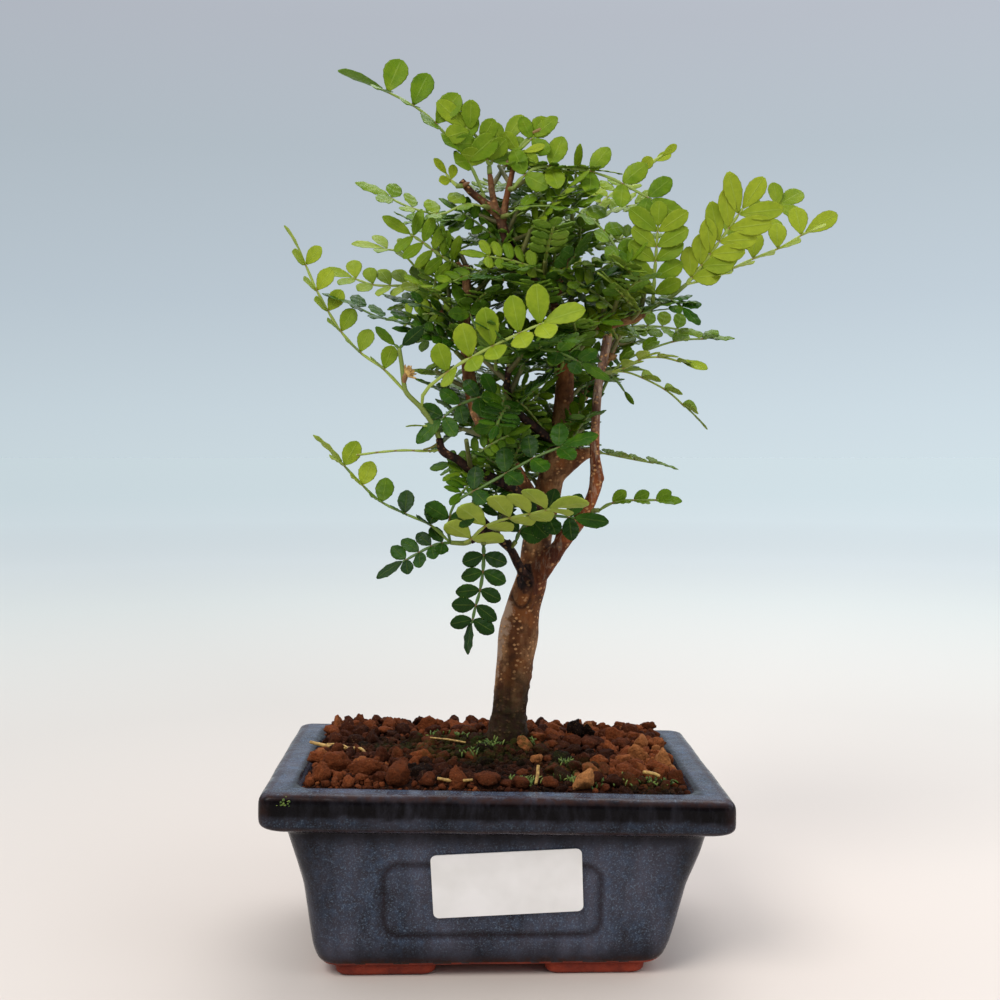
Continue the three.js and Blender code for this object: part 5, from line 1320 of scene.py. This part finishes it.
def soil_level(x, y):
    """Height of the soil between its grains."""
    edge_x = RIM_LENGTH / 2 - SOIL_EDGE["inset"] - abs(x)
    edge_y = RIM_DEPTH / 2 - SOIL_EDGE["inset"] - abs(y)
    inward = smooth_step(min(edge_x, edge_y), SOIL_EDGE["from"], SOIL_EDGE["to"])
    rise = SOIL_RISE + SOIL_SLOPE * (y + RIM_DEPTH / 2)
    away = ((x - TRUNK_FOOT[0]) / HEAP["reach_x"]) ** 2 + ((y - TRUNK_FOOT[1]) / HEAP["reach_y"]) ** 2
    heap = HEAP["height"] * math.exp(-away)
    return POT_HEIGHT - SOIL_EDGE["sink"] + rim_lift(x, POT_HEIGHT) + inward * (rise + heap)


def patch_strength(patches, x, y):
    best = 0.0
    for (px, py), (rx, ry), strength in patches:
        away = ((x - px) / rx) ** 2 + ((y - py) / ry) ** 2
        best = max(best, strength * math.exp(-away * away))
    return best


def build_soil_bed():
    """Fine soil that fills the pot, under the grains."""
    piece = Piece()
    walls = POT_INSIDE[:0:-1]
    rows = [(SOIL_BOTTOM, *walls[0][1:])] + walls[1:-1] + [SOIL_SHOULDER]
    rings = []
    for z, inset_x, inset_y, corner in rows:
        half_x = RIM_LENGTH / 2 - inset_x - GAP
        half_y = RIM_DEPTH / 2 - inset_y - GAP
        outline = rounded_ring(half_x, half_y, corner - GAP, 60, 40)
        spots = [(x + wall_shift(z), y, z + rim_lift(x, z)) for x, y in outline]
        rings.append([piece.add(spot, (0.1, 1, 0)) for spot in spots])
    for k in range(BED_RINGS):
        share = 1 - k / BED_RINGS
        ring = []
        for x, y in outline:
            x, y = x * share, y * share
            z = soil_level(x, y) + 0.6 * rough(x, y, 0, 3.5, 1.0) + 0.45 * rough(x, y, 0, 1.5, 7.0)
            tone = 0.12 + 0.12 * rough(x, y, 0, 6, 5.0)
            ring.append(piece.add((x, y, z), (tone, 1, patch_strength(ALGAE_PATCHES, x, y))))
        rings.append(ring)
    piece.skin(rings)
    piece.build("soil_bed", [GRAIN], "grainy_soil", ("soil",))


BROKEN_FACES = 5


def ball(subdivisions):
    """Points and faces of a ball of radius 1."""
    mesh = bpy.data.meshes.new("ball")
    shape = bmesh.new()
    bmesh.ops.create_icosphere(shape, subdivisions=subdivisions, radius=1.0)
    shape.to_mesh(mesh)
    shape.free()
    points = [v.co.copy() for v in mesh.vertices]
    faces = [tuple(p.vertices) for p in mesh.polygons]
    bpy.data.meshes.remove(mesh)
    return points, faces


def add_lump(piece, shape, centre, size, tone, chance, flat=0.8, chip=0.3):
    """Irregular crumb with broken faces and worn corners."""
    points, faces = shape
    turn = Matrix.Rotation(chance.uniform(0, 6.28), 3, Vector((chance.gauss(0, 1), chance.gauss(0, 1), 1)))
    stretch = Vector((chance.uniform(0.85, 1.2), chance.uniform(0.8, 1.1), chance.uniform(0.7, 1.0) * flat))
    seed = chance.uniform(0, 90)
    damp = chance.uniform(0, 1)
    breaks = []
    for _ in range(BROKEN_FACES):
        facing = Vector((chance.gauss(0, 1), chance.gauss(0, 1), chance.gauss(0, 1))).normalized()
        breaks.append((facing, chance.uniform(0.5, 0.85)))
    algae = patch_strength(ALGAE_PATCHES, centre.x, centre.y)
    start = len(piece.points)
    for p in points:
        spot = p.copy()
        for facing, reach in breaks:
            beyond = spot.dot(facing) - reach
            if beyond > 0:
                spot -= facing * (0.85 * beyond)
        bulge = 1.12 + chip * noise.noise(p * 1.6 + Vector((seed, 0, 0)))
        bulge += 0.7 * chip * noise.noise(p * 3.7 + Vector((0, seed, 0)))
        bulge += 0.4 * chip * noise.noise(p * 7.5 + Vector((0, 0, seed)))
        spot = Vector((spot.x * stretch.x, spot.y * stretch.y, spot.z * stretch.z))
        piece.add(centre + turn @ spot * (bulge * size / 2), (tone, damp, algae))
    for corners in faces:
        piece.face(tuple(start + c for c in corners))


def build_grains():
    chance = random.Random(11)
    shapes = {2: ball(2), 3: ball(3)}
    placed = []
    pieces = {3: Piece(), 2: Piece()}

    def room(x, y, size):
        near = [row for row in placed if abs(x - row[0]) < 8]
        return all((x - a) ** 2 + (y - b) ** 2 > (GRAIN_ROOM * (size + s)) ** 2 for a, b, s in near)

    half_x = RIM_LENGTH / 2 - GRAIN_INSET
    half_y = RIM_DEPTH / 2 - GRAIN_INSET
    for x, y, size, tone in LARGE_GRAINS:
        y = max(-half_y + size * 0.45, y)
        placed.append((x, y, size))
        centre = Vector((x, y, soil_level(x, y) + 0.25 * size))
        add_lump(pieces[3], shapes[3], centre, size, tone, chance)
    for count, low, high, detail in GRAIN_KINDS:
        made, tries = 0, 0
        while made < count and tries < TRIES_PER_GRAIN * count:
            tries += 1
            x, y = chance.uniform(-half_x, half_x), chance.uniform(-half_y, half_y)
            size = chance.uniform(low, high)
            dark = patch_strength(DARK_PATCHES, x, y)
            if size > 2.2 and chance.random() < dark * 0.9:
                continue
            if math.hypot(x - TRUNK_FOOT[0], y - TRUNK_FOOT[1]) < 6 + size / 2:
                continue
            if max(abs(x) + size / 2 - half_x, abs(y) + size / 2 - half_y) > 0.6 or not room(x, y, size):
                continue
            placed.append((x, y, size))
            pale = patch_strength(PALE_PATCHES, x, y)
            tone = chance.gauss(0.4, 0.12) + 0.3 * pale - 0.32 * dark
            centre = Vector((x, y, soil_level(x, y) + (0.22 - 0.2 * dark) * size))
            add_lump(pieces[detail], shapes[detail], centre, size, max(0.02, tone), chance)
            made += 1
    pieces[3].build("soil_grains_large", [GRAIN], "grainy_soil")
    pieces[2].build("soil_grains_small", [GRAIN], "grainy_soil")


# Moss, straw and bits on the soil

MOSS_INSET = 12
# Tufts of moss: x, y, spread, count of blades
TUFTS = [
    (-17.5, 14, 3.6, 30), (-1.5, -3, 3.2, 44), (20.5, -12.7, 3.2, 40), (21.7, -29, 3.6, 40),
    (8.5, -32, 5, 34), (43, -27.9, 4, 26), (48, -28, 3.6, 24), (-58, 32, 3.4, 26), (-10, 8, 3.4, 26),
    (10, 0, 3, 20), (5, -30, 4, 20), (36, -30, 5, 16), (-8, -8, 4, 14), (30, -32, 5, 12),
    (-54, -4, 2.5, 8),
]
# Bits of straw: points with a radius
STRAWS = [
    [
        (-57.5, 6, 59, 0.5), (-52, 3, 58.4, 0.6), (-46, -1, 58.6, 0.55), (-41, -3, 58.8, 0.5),
        (-39, -7, 57.4, 0.4),
    ],
    [(11.8, -29, 59.6, 0.5), (11.5, -31, 57.5, 0.5), (10.9, -33, 55.2, 0.5)],
    [(-17, -34, 57.4, 0.45), (-12.5, -34.6, 56.8, 0.5), (-7, -34.4, 57, 0.4)],
    [(-52, 4, 58.8, 0.3), (-47, 0, 59.4, 0.3), (-43, -5, 58.2, 0.25)],
    [(-20, 4, 60.6, 0.25), (-14, 0, 60.8, 0.3), (-9, -3, 60.6, 0.25)],
    [(42, -29, 57.6, 0.5), (45, -30.4, 57.4, 0.5), (46.5, -31, 56.8, 0.4)],
]
# Two lumps of the dark bark chip: x, y, z, size
BARK_CHIP = [(26.3, 13.3, 61.4, 6.4), (30, 14, 60, 4.4)]


def build_moss(chance):
    piece = Piece()
    for x, y, spread, count in TUFTS:
        for _ in range(count):
            bx, by = x + chance.gauss(0, spread / 2.4), y + chance.gauss(0, spread / 2.4)
            if abs(bx) > RIM_LENGTH / 2 - MOSS_INSET or abs(by) > RIM_DEPTH / 2 - MOSS_INSET:
                continue
            base = Vector((bx, by, soil_level(bx, by) + 0.7))
            lean = Vector((chance.gauss(0, 0.5), chance.gauss(0, 0.5), 1)).normalized()
            height = chance.uniform(0.8, 2.0)
            tone = chance.uniform(0.2, 1.0)
            tip = base + lean * height + Vector((lean.x, lean.y, -0.2)) * 0.6
            points = [(*base, 0.16), (*(base + lean * height * 0.5), 0.26), (*tip, 0.1)]
            tube(piece, Curve(points), 5, 3, 0, lambda t, k=tone: (k, t, 0))
    piece.build("moss_tufts", [MOSS], "grainy_soil")


def build_straws():
    piece = Piece()
    for points in STRAWS:
        tube(piece, Curve(points), 7, 4 * (len(points) - 1))
    piece.build("straw_bits", [STRAW], "grainy_soil")


def build_bark_chip(chance):
    piece = Piece()
    shape = ball(3)
    for x, y, z, size in BARK_CHIP:
        add_lump(piece, shape, Vector((x, y, z)), size, 0.02, chance, 0.7, 0.6)
    piece.build("dark_chip", [GRAIN], "grainy_soil")


# Wood

VOXEL = 0.46  # fineness of the bark's mesh
# Ringed scar on the trunk's front
SCAR = {"x": 8.2, "z": 106.4, "half_x": 3.0, "half_z": 4.8}
# Paler bark down the trunk's left side: from and to this height, and its place across the trunk
PALE_FROM, PALE_TO = 72, 101
PALE_ACROSS = (0.25, 1.05)
DARK_ABOVE = (185, 205)  # heights between which the trunk turns dark
DAMP_BELOW = (68, 92)  # heights between which its foot turns from damp to dry
RED_LIMBS = ("red_branch",)
DARK_LIMBS = {
    "low_left": 1, "mid_left": 1, "front_mid": 1, "top_stub": 0.4, "top_mid": 0.55, "top_right": 0.35,
}


def build_wood():
    piece = Piece()
    samples = []
    for name, points in LIMBS:
        curve = limb_curves[name]
        is_trunk = name == "trunk"
        tube(piece, curve, 20 if is_trunk else 12, 5 * len(points))
        for i in range(8 * len(points) + 1):
            values = curve.values(i / (8 * len(points)))
            dark = 0.85 * smooth_step(values[2], *DARK_ABOVE) if is_trunk else DARK_LIMBS.get(name, 0)
            samples.append((values, (name in RED_LIMBS, dark, is_trunk)))
    for stub in STUBS:
        tube(piece, Curve(true_places(stub)), 10, 4 * len(stub))
    wood = piece.build("wood_bark", [BARK], "bark", ("wood",))
    merge = wood.modifiers.new("merge", "REMESH")
    merge.mode = "VOXEL"
    merge.voxel_size = VOXEL * MM
    merge.use_smooth_shade = True
    soften = wood.modifiers.new("soften", "SMOOTH")
    soften.factor = 0.5
    soften.iterations = 4
    apply_modifiers(wood)
    roughen_wood(wood.data, samples)


def roughen_wood(mesh, samples):
    """Marks the bark and gives it ridges, by the limbs' samples nearest to each point."""
    tree = kdtree.KDTree(len(samples))
    for i, (values, _) in enumerate(samples):
        tree.insert(Vector(values[:3]), i)
    tree.balance()
    marks = []
    moved = []
    for vertex in mesh.vertices:
        x, y, z = to_pot(vertex.co)
        near = tree.find_n(Vector((x, y, z)), 6)
        red, dark, radius = blend_samples([(*samples[index], distance) for _, index, distance in near])
        # Painted shade: the trunk is darkened in the crotch under its lowest fork.
        if in_fork(x, z):
            dark = max(dark, 0.4)
        damp = 1 - smooth_step(z + 4 * rough(x, y, z, 5, 3.0), *DAMP_BELOW)
        nearest, (_, _, is_trunk) = samples[tree.find(Vector((x, y, z)))[1]]
        if is_trunk:
            across = (nearest[0] - x) / nearest[3]
            pale = smooth_step(across, *PALE_ACROSS) * (1 - smooth_step(z, PALE_TO, PALE_TO + 6))
            damp -= pale * smooth_step(z, PALE_FROM, PALE_FROM + 8)
        push = bark_relief(x, y, z, radius, damp)
        ring = math.hypot((x - SCAR["x"]) / SCAR["half_x"], (z - SCAR["z"]) / SCAR["half_z"])
        if y < 4 and ring < 1.6:
            push += 0.4 * bell((ring - 1.25) / 0.18) - 0.5 * bell((ring - 1) / 0.12)
            push -= 0.25 * (ring < 0.8)
            dark = max(dark, 0.85 * bell((ring - 1) / 0.14))
        marks.append((red, dark, damp))
        moved.append(vertex.co + vertex.normal * (push * MM))
    for vertex, spot in zip(mesh.vertices, moved):
        vertex.co = spot
    set_marks(mesh, marks)
    mesh.update()


def bark_relief(x, y, z, radius, damp):
    """Ridges along the limb, and swollen spots where it is damp."""
    ridge = abs(rough(x, y, z * 0.35, 1.6 + 0.25 * radius, 6.0))
    push = 0.07 * radius * (rough(x, y, z * 0.5, 4, 2.0)) + 0.16 * min(1, radius / 3) * (0.5 - ridge)
    return push + 0.8 * max(0.0, damp) * max(0.0, rough(x, y, z, 2.2, 8.0))


def bell(distance):
    return math.exp(-distance ** 2)


def blend_samples(near):
    """Redness, darkness and radius of the limbs near a place, by their samples' distance from it."""
    red = dark = total = radius = 0.0
    for values, kind, distance in near:
        weight = 1 / (0.15 + max(0.0, distance - values[3])) ** 2
        red += weight * kind[0]
        dark += weight * kind[1]
        radius += weight * values[3]
        total += weight
    return red / total, dark / total, radius / total


def in_fork(x, z):
    """Tells whether a place of the trunk lies under its lowest fork."""
    return 106 < z < 122 and x > 9.5 + 0.25 * (z - 106)


# Buds, thorns, bare stalks and single leaflets

# Small tubes: mark of brownness, joint and tone, then points with a radius
BITS = [
    ((0.25, 1, 0.6), [(-28, -13, 170.4, 0.55), (-27.8, -13.2, 172.4, 0.95), (-27.2, -13.4, 173.8, 0.7)]),
    ((0.2, 0.9, 0.8), [
        (11.8, 6, 247.6, 0.5), (14, 5.8, 248.6, 0.62), (17, 5.6, 249.8, 0.34), (20, 5.4, 250.9, 0.1),
    ]),
    ((0.8, 0.6, 0.5), [(3.2, 7.6, 237.8, 0.7), (5.2, 7, 239, 0.9), (8, 6.6, 239.8, 0.6)]),
    ((0.4, 1, 0.4), [(0.6, 6.6, 242.6, 0.3), (1.8, 6.2, 243.8, 0.75), (3.2, 6.2, 244, 0.25)]),
    ((0.4, 1, 0.4), [(-9.8, 4.8, 230.8, 0.3), (-9, 4.2, 231.8, 0.7), (-7.6, 4.2, 232.4, 0.25)]),
    ((0.15, 1, 0.5), [(35.6, -2, 178, 0.4), (36.8, -2.4, 178.8, 0.95), (38, -2.4, 179.6, 0.3)]),
    ((0.4, 1, 0.4), [(-14.4, -16.6, 124.2, 0.4), (-14.8, -16.8, 125.4, 0.7), (-15.2, -16.8, 126.6, 0.2)]),
    ((0.1, 0.5, 0.6), [(-17, -11.2, 152.6, 0.4), (-19.4, -11.6, 151, 0.35), (-22, -12, 150.2, 0.3)]),
    ((0.1, 0.1, 0.3), [
        (21.5, 13, 146, 0.85), (25.4, 17, 152.6, 0.75), (30, 20, 161.3, 0.65), (35.9, 22, 173.4, 0.5),
    ]),
    ((0.1, 0.1, 0.2), [(-5.7, 14, 192.7, 0.6), (-5, 14, 189, 0.6), (-4.7, 12, 186.3, 0.6)]),
]
# Stalks with one leaflet at the end: points, leaflet length, width against its length, tilt, tone, roll
SINGLES = [
    ([(6.6, 7.6, 241.6), (9, 7, 244.6), (11.3, 6.4, 246.7)], 7.2, 0.95, 10, 0.5, 0),
    ([(6.4, 7, 240.6), (8, 6.4, 241.4), (9.2, 6, 241.8)], 6.4, 0.42, 40, 1, 40),
    ([(42, 16, 232), (44, 15, 235), (45.4, 14, 236.6)], 5.4, 0.8, 10, 1, 0),
    ([(44, 15, 235), (47.6, 14, 238), (49.8, 14, 239.2)], 5.4, 0.7, 30, 1, 0),
    ([(44, 15, 235), (48, 14, 238.4), (52, 14, 241.2)], 5.2, 0.5, 30, 0.95, 40),
    ([(35.9, 22, 173.4), (38.6, 22, 171), (40.4, 22, 168.4)], 5, 0.35, 60, 0.3, 60),
    ([(-16.6, -11.6, 154), (-19.6, -12, 157.4), (-22, -12.4, 157.6)], 5, 0.4, 50, 0.7, 50),
]
# Midrib that has lost its leaflets
BARE_RIB = [
    (-17, -11, 150.2), (-21.2, -11.4, 149.9), (-28, -12, 150.1), (-35, -12, 149.6), (-42.8, -12, 148.6),
]
BARE_JOINTS, BARE_TONE = 5, 0.75
# Opened bud on the left shoot: middle of its foot, angles of its first and last scale, lengths
FRINGE = {"foot": (-27.3, -13.8, 173), "count": 11, "from": -8, "to": 104, "short": 2.2, "long": 3.7}
CUT_END = {"x": 35.3, "y": -1, "z": 185, "radius": 1.1, "fibres": 16, "height": 1.3}
ALGAE_FLECK = {"x": -58, "z": 54.1, "count": 14, "spread": 0.8}


def build_details():
    piece = Piece()
    for mark, points in BITS:
        curve = Curve(true_places(points))
        tube(piece, curve, 8, 5 * (len(points) - 1), STEM, lambda t, mark=mark: mark)
    for i, (points, size, width, tilt, tone, roll) in enumerate(SINGLES):
        shape = {"tip": 1, "width": width, "roll": roll}
        leaf = Leaf(true_places(points), 0, size, tilt, tone, shape)
        rib(piece, leaf)
        leaflet(piece, leaf, 1.0, 0, 3.7 * i, 0.1, FINE_LEAFLET)
    rib(piece, Leaf(true_places(BARE_RIB), BARE_JOINTS, 2, 60, BARE_TONE))
    add_fringe(piece)
    piece.build("buds_and_stalks", LEAF_MATERIALS + [STRAW], "leaf_green")


def add_fringe(piece):
    """Dry pointed scales of the opened bud, spread like a fan."""
    x, y, z = FRINGE["foot"]
    for i in range(FRINGE["count"]):
        turn = math.radians(FRINGE["from"] + (FRINGE["to"] - FRINGE["from"]) * i / (FRINGE["count"] - 1))
        reach = FRINGE["short"] + (FRINGE["long"] - FRINGE["short"]) * wobble(i)
        ahead = wobble(i + 20) - 0.5
        points = []
        for share, radius in ((0.15, 0.3), (0.6, 0.36), (0.85, 0.26), (1, 0.08)):
            bend = turn + 0.25 * share * (wobble(i + 40) - 0.5)
            across, up = share * reach * math.cos(bend), share * reach * math.sin(bend)
            points.append((x + across, y - share * ahead, z + up, radius))
        tube(piece, Curve(true_places(points)), 6, 9, 3)


def build_cut_end():
    """Frayed wood at the cut end of the red branch."""
    chance = random.Random(5)
    piece = Piece()
    for _ in range(CUT_END["fibres"]):
        turn = chance.uniform(0, 2 * math.pi)
        out = CUT_END["radius"] * chance.uniform(0.1, 0.95)
        x, y = CUT_END["x"] + out * math.cos(turn), CUT_END["y"] + out * math.sin(turn)
        top = CUT_END["z"] + CUT_END["height"] * chance.uniform(0.5, 1)
        end = (x + 0.25 * math.cos(turn), y + 0.25 * math.sin(turn), top, 0.1)
        points = [(x, y, CUT_END["z"] - 1.2, 0.3), (x, y, CUT_END["z"], 0.28), end]
        tube(piece, Curve(true_places(points)), 5, 3)
    piece.build("cut_fibres", [STRAW], "bark")


def build_rim_algae():
    """Tiny green cushions on the rim's front face, near its left end."""
    chance = random.Random(8)
    shape = ball(2)
    piece = Piece()
    for _ in range(ALGAE_FLECK["count"]):
        x = ALGAE_FLECK["x"] + chance.gauss(0, ALGAE_FLECK["spread"])
        z = ALGAE_FLECK["z"] + chance.gauss(0, ALGAE_FLECK["spread"])
        centre = Vector((x, -RIM_DEPTH / 2 - 0.1, z))
        add_lump(piece, shape, centre, chance.uniform(0.4, 0.8), chance.uniform(0.4, 1), chance, 0.5)
    piece.build("rim_algae", [MOSS], "grainy_soil")


# All pieces

build_pot()
for name, material in (("drain_mesh_left", PLASTIC), ("drain_mesh_right", PLASTIC), ("label", PAPER)):
    give_materials(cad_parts[name].data, [material])
build_soil_bed()
build_grains()
litter_chance = random.Random(23)
build_moss(litter_chance)
build_straws()
build_bark_chip(litter_chance)
build_wood()
for row in SPRAYS:
    spray(row)
for name, limb, u, aim, reach, count, pairs, size, tone in BUSHES:
    piece = Piece()
    bush(piece, limb_curves[limb].at(u), aim, reach, count, pairs, size, tone, 40 * u)
    build_leaves(piece, name)
fill_crown()
build_details()
build_cut_end()
build_rim_algae()


# Floor, light and camera

VIEW_HALF = 0.36  # sideways reach of the view against its distance
# The floor's colour is scaled by these shares too, as painted light.
WORLD_LEFT, WORLD_RIGHT = 0.93, 1.05  # light at the view's left and right edge
# In metres: the floor's half width, and how far from the pot its colour, which is painted light, still
# changes
FLOOR_REACH = 30.0
FLOOR_FADE = 4.0
# Lamps: name, place, size, power, colour
LAMPS = [
    ("key", (-0.5, -0.6, 0.9), 0.6, 7.5, (1.0, 0.98, 0.95)),
    ("fill", (0.8, -0.5, 0.5), 0.7, 2.4, (0.95, 0.98, 1.0)),
    ("top", (0.1, 0.5, 1.0), 0.7, 4, (1.0, 1.0, 1.0)),
]
LAMP_TARGET = (SHIFT_X, SHIFT_Y, 0.15)
LENS, SENSOR = 46.8, 36  # in millimetres
CAMERA_PITCH, CAMERA_TURN = 87.86, -1.54  # in degrees
# Painted light: floor colour by the share of FLOOR_FADE metres from the pot, darker and warmer near it,
# paler far off
PAINTED_FLOOR_TONES = [
    (0.0, (214, 201, 191)), (0.095, (211, 205, 197)), (0.23, (225, 227, 220)), (0.35, (236, 240, 235)),
    (0.61, (243, 250, 245)), (1.0, (240, 249, 244)),
]


def build_stage():
    mesh = bpy.data.meshes.new("floor")
    corners = [(x * FLOOR_REACH, y * FLOOR_REACH, 0) for x, y in ((-1, -1), (1, -1), (1, 1), (-1, 1))]
    mesh.from_pydata(corners, [], [(0, 1, 2, 3)])
    made = Surface("pale_floor")
    far = made.node("ShaderNodeVectorMath", operation="LENGTH")
    made.feed(far.inputs[0], made.place)
    distance = made.span(far.outputs["Value"], 0, FLOOR_FADE)
    aside = made.math("DIVIDE", made.split(made.place)[0], far.outputs["Value"])
    # Painted light: the floor's colour is darker towards the view's left and lighter towards its right.
    painted_floor_light = made.node("ShaderNodeVectorMath", operation="SCALE")
    made.feed(painted_floor_light.inputs[0], made.ramp(distance, PAINTED_FLOOR_TONES))
    made.feed(painted_floor_light.inputs["Scale"], made.span(aside, -VIEW_HALF, VIEW_HALF, WORLD_LEFT, WORLD_RIGHT))
    give_materials(mesh, [made.done(painted_floor_light.outputs[0], 1.0, Specular_IOR_Level=0.0)])
    add_object("floor", mesh)


def build_lamps():
    for name, place, size, power, colour in LAMPS:
        light = bpy.data.lights.new(name, "AREA")
        light.shape = "DISK"
        light.size = size
        light.energy = power
        light.color = colour
        lamp = add_object(name, light)
        lamp.location = place
        lamp.rotation_euler = (Vector(LAMP_TARGET) - Vector(place)).to_track_quat("-Z", "Y").to_euler()


# Wall colour by height over the horizon
SKY_TONES = [
    (0.0, (205, 219, 226)), (0.03, (202, 216, 224)), (0.115, (190, 203, 213)), (0.224, (181, 192, 201)),
    (0.31, (182, 188, 198)), (0.7, (204, 210, 220)),
]
WORLD_TOP = 2.0  # light from high above, against that near the horizon
WORLD_BEHIND = 0.4  # light from behind the camera


def build_world():
    world = bpy.data.worlds.new("studio")
    bpy.context.scene.world = world
    world.use_nodes = True
    made = Nodes(world.node_tree, "Generated")
    across, ahead, aloft = made.split(made.place)
    background = world.node_tree.nodes["Background"]
    made.feed(background.inputs["Color"], made.ramp(aloft, SKY_TONES))
    power = made.span(aloft, 0.34, 0.6, 1.0, WORLD_TOP)
    power = made.times(power, made.span(ahead, -0.4, 0.4, WORLD_BEHIND, 1.0))
    power = made.times(power, made.span(across, -VIEW_HALF, VIEW_HALF, WORLD_LEFT, WORLD_RIGHT))
    made.feed(background.inputs["Strength"], power)


def build_camera():
    data = bpy.data.cameras.new("camera")
    data.lens = LENS
    data.sensor_width = SENSOR
    camera = add_object("camera", data)
    camera.location = (VIEW_POINT[0] * MM + SHIFT_X, VIEW_POINT[1] * MM + SHIFT_Y, VIEW_POINT[2] * MM)
    camera.rotation_euler = (math.radians(CAMERA_PITCH), 0, math.radians(CAMERA_TURN))
    bpy.context.scene.camera = camera


build_stage()
build_world()
build_lamps()
build_camera()
bpy.context.scene.view_settings.view_transform = "Standard"
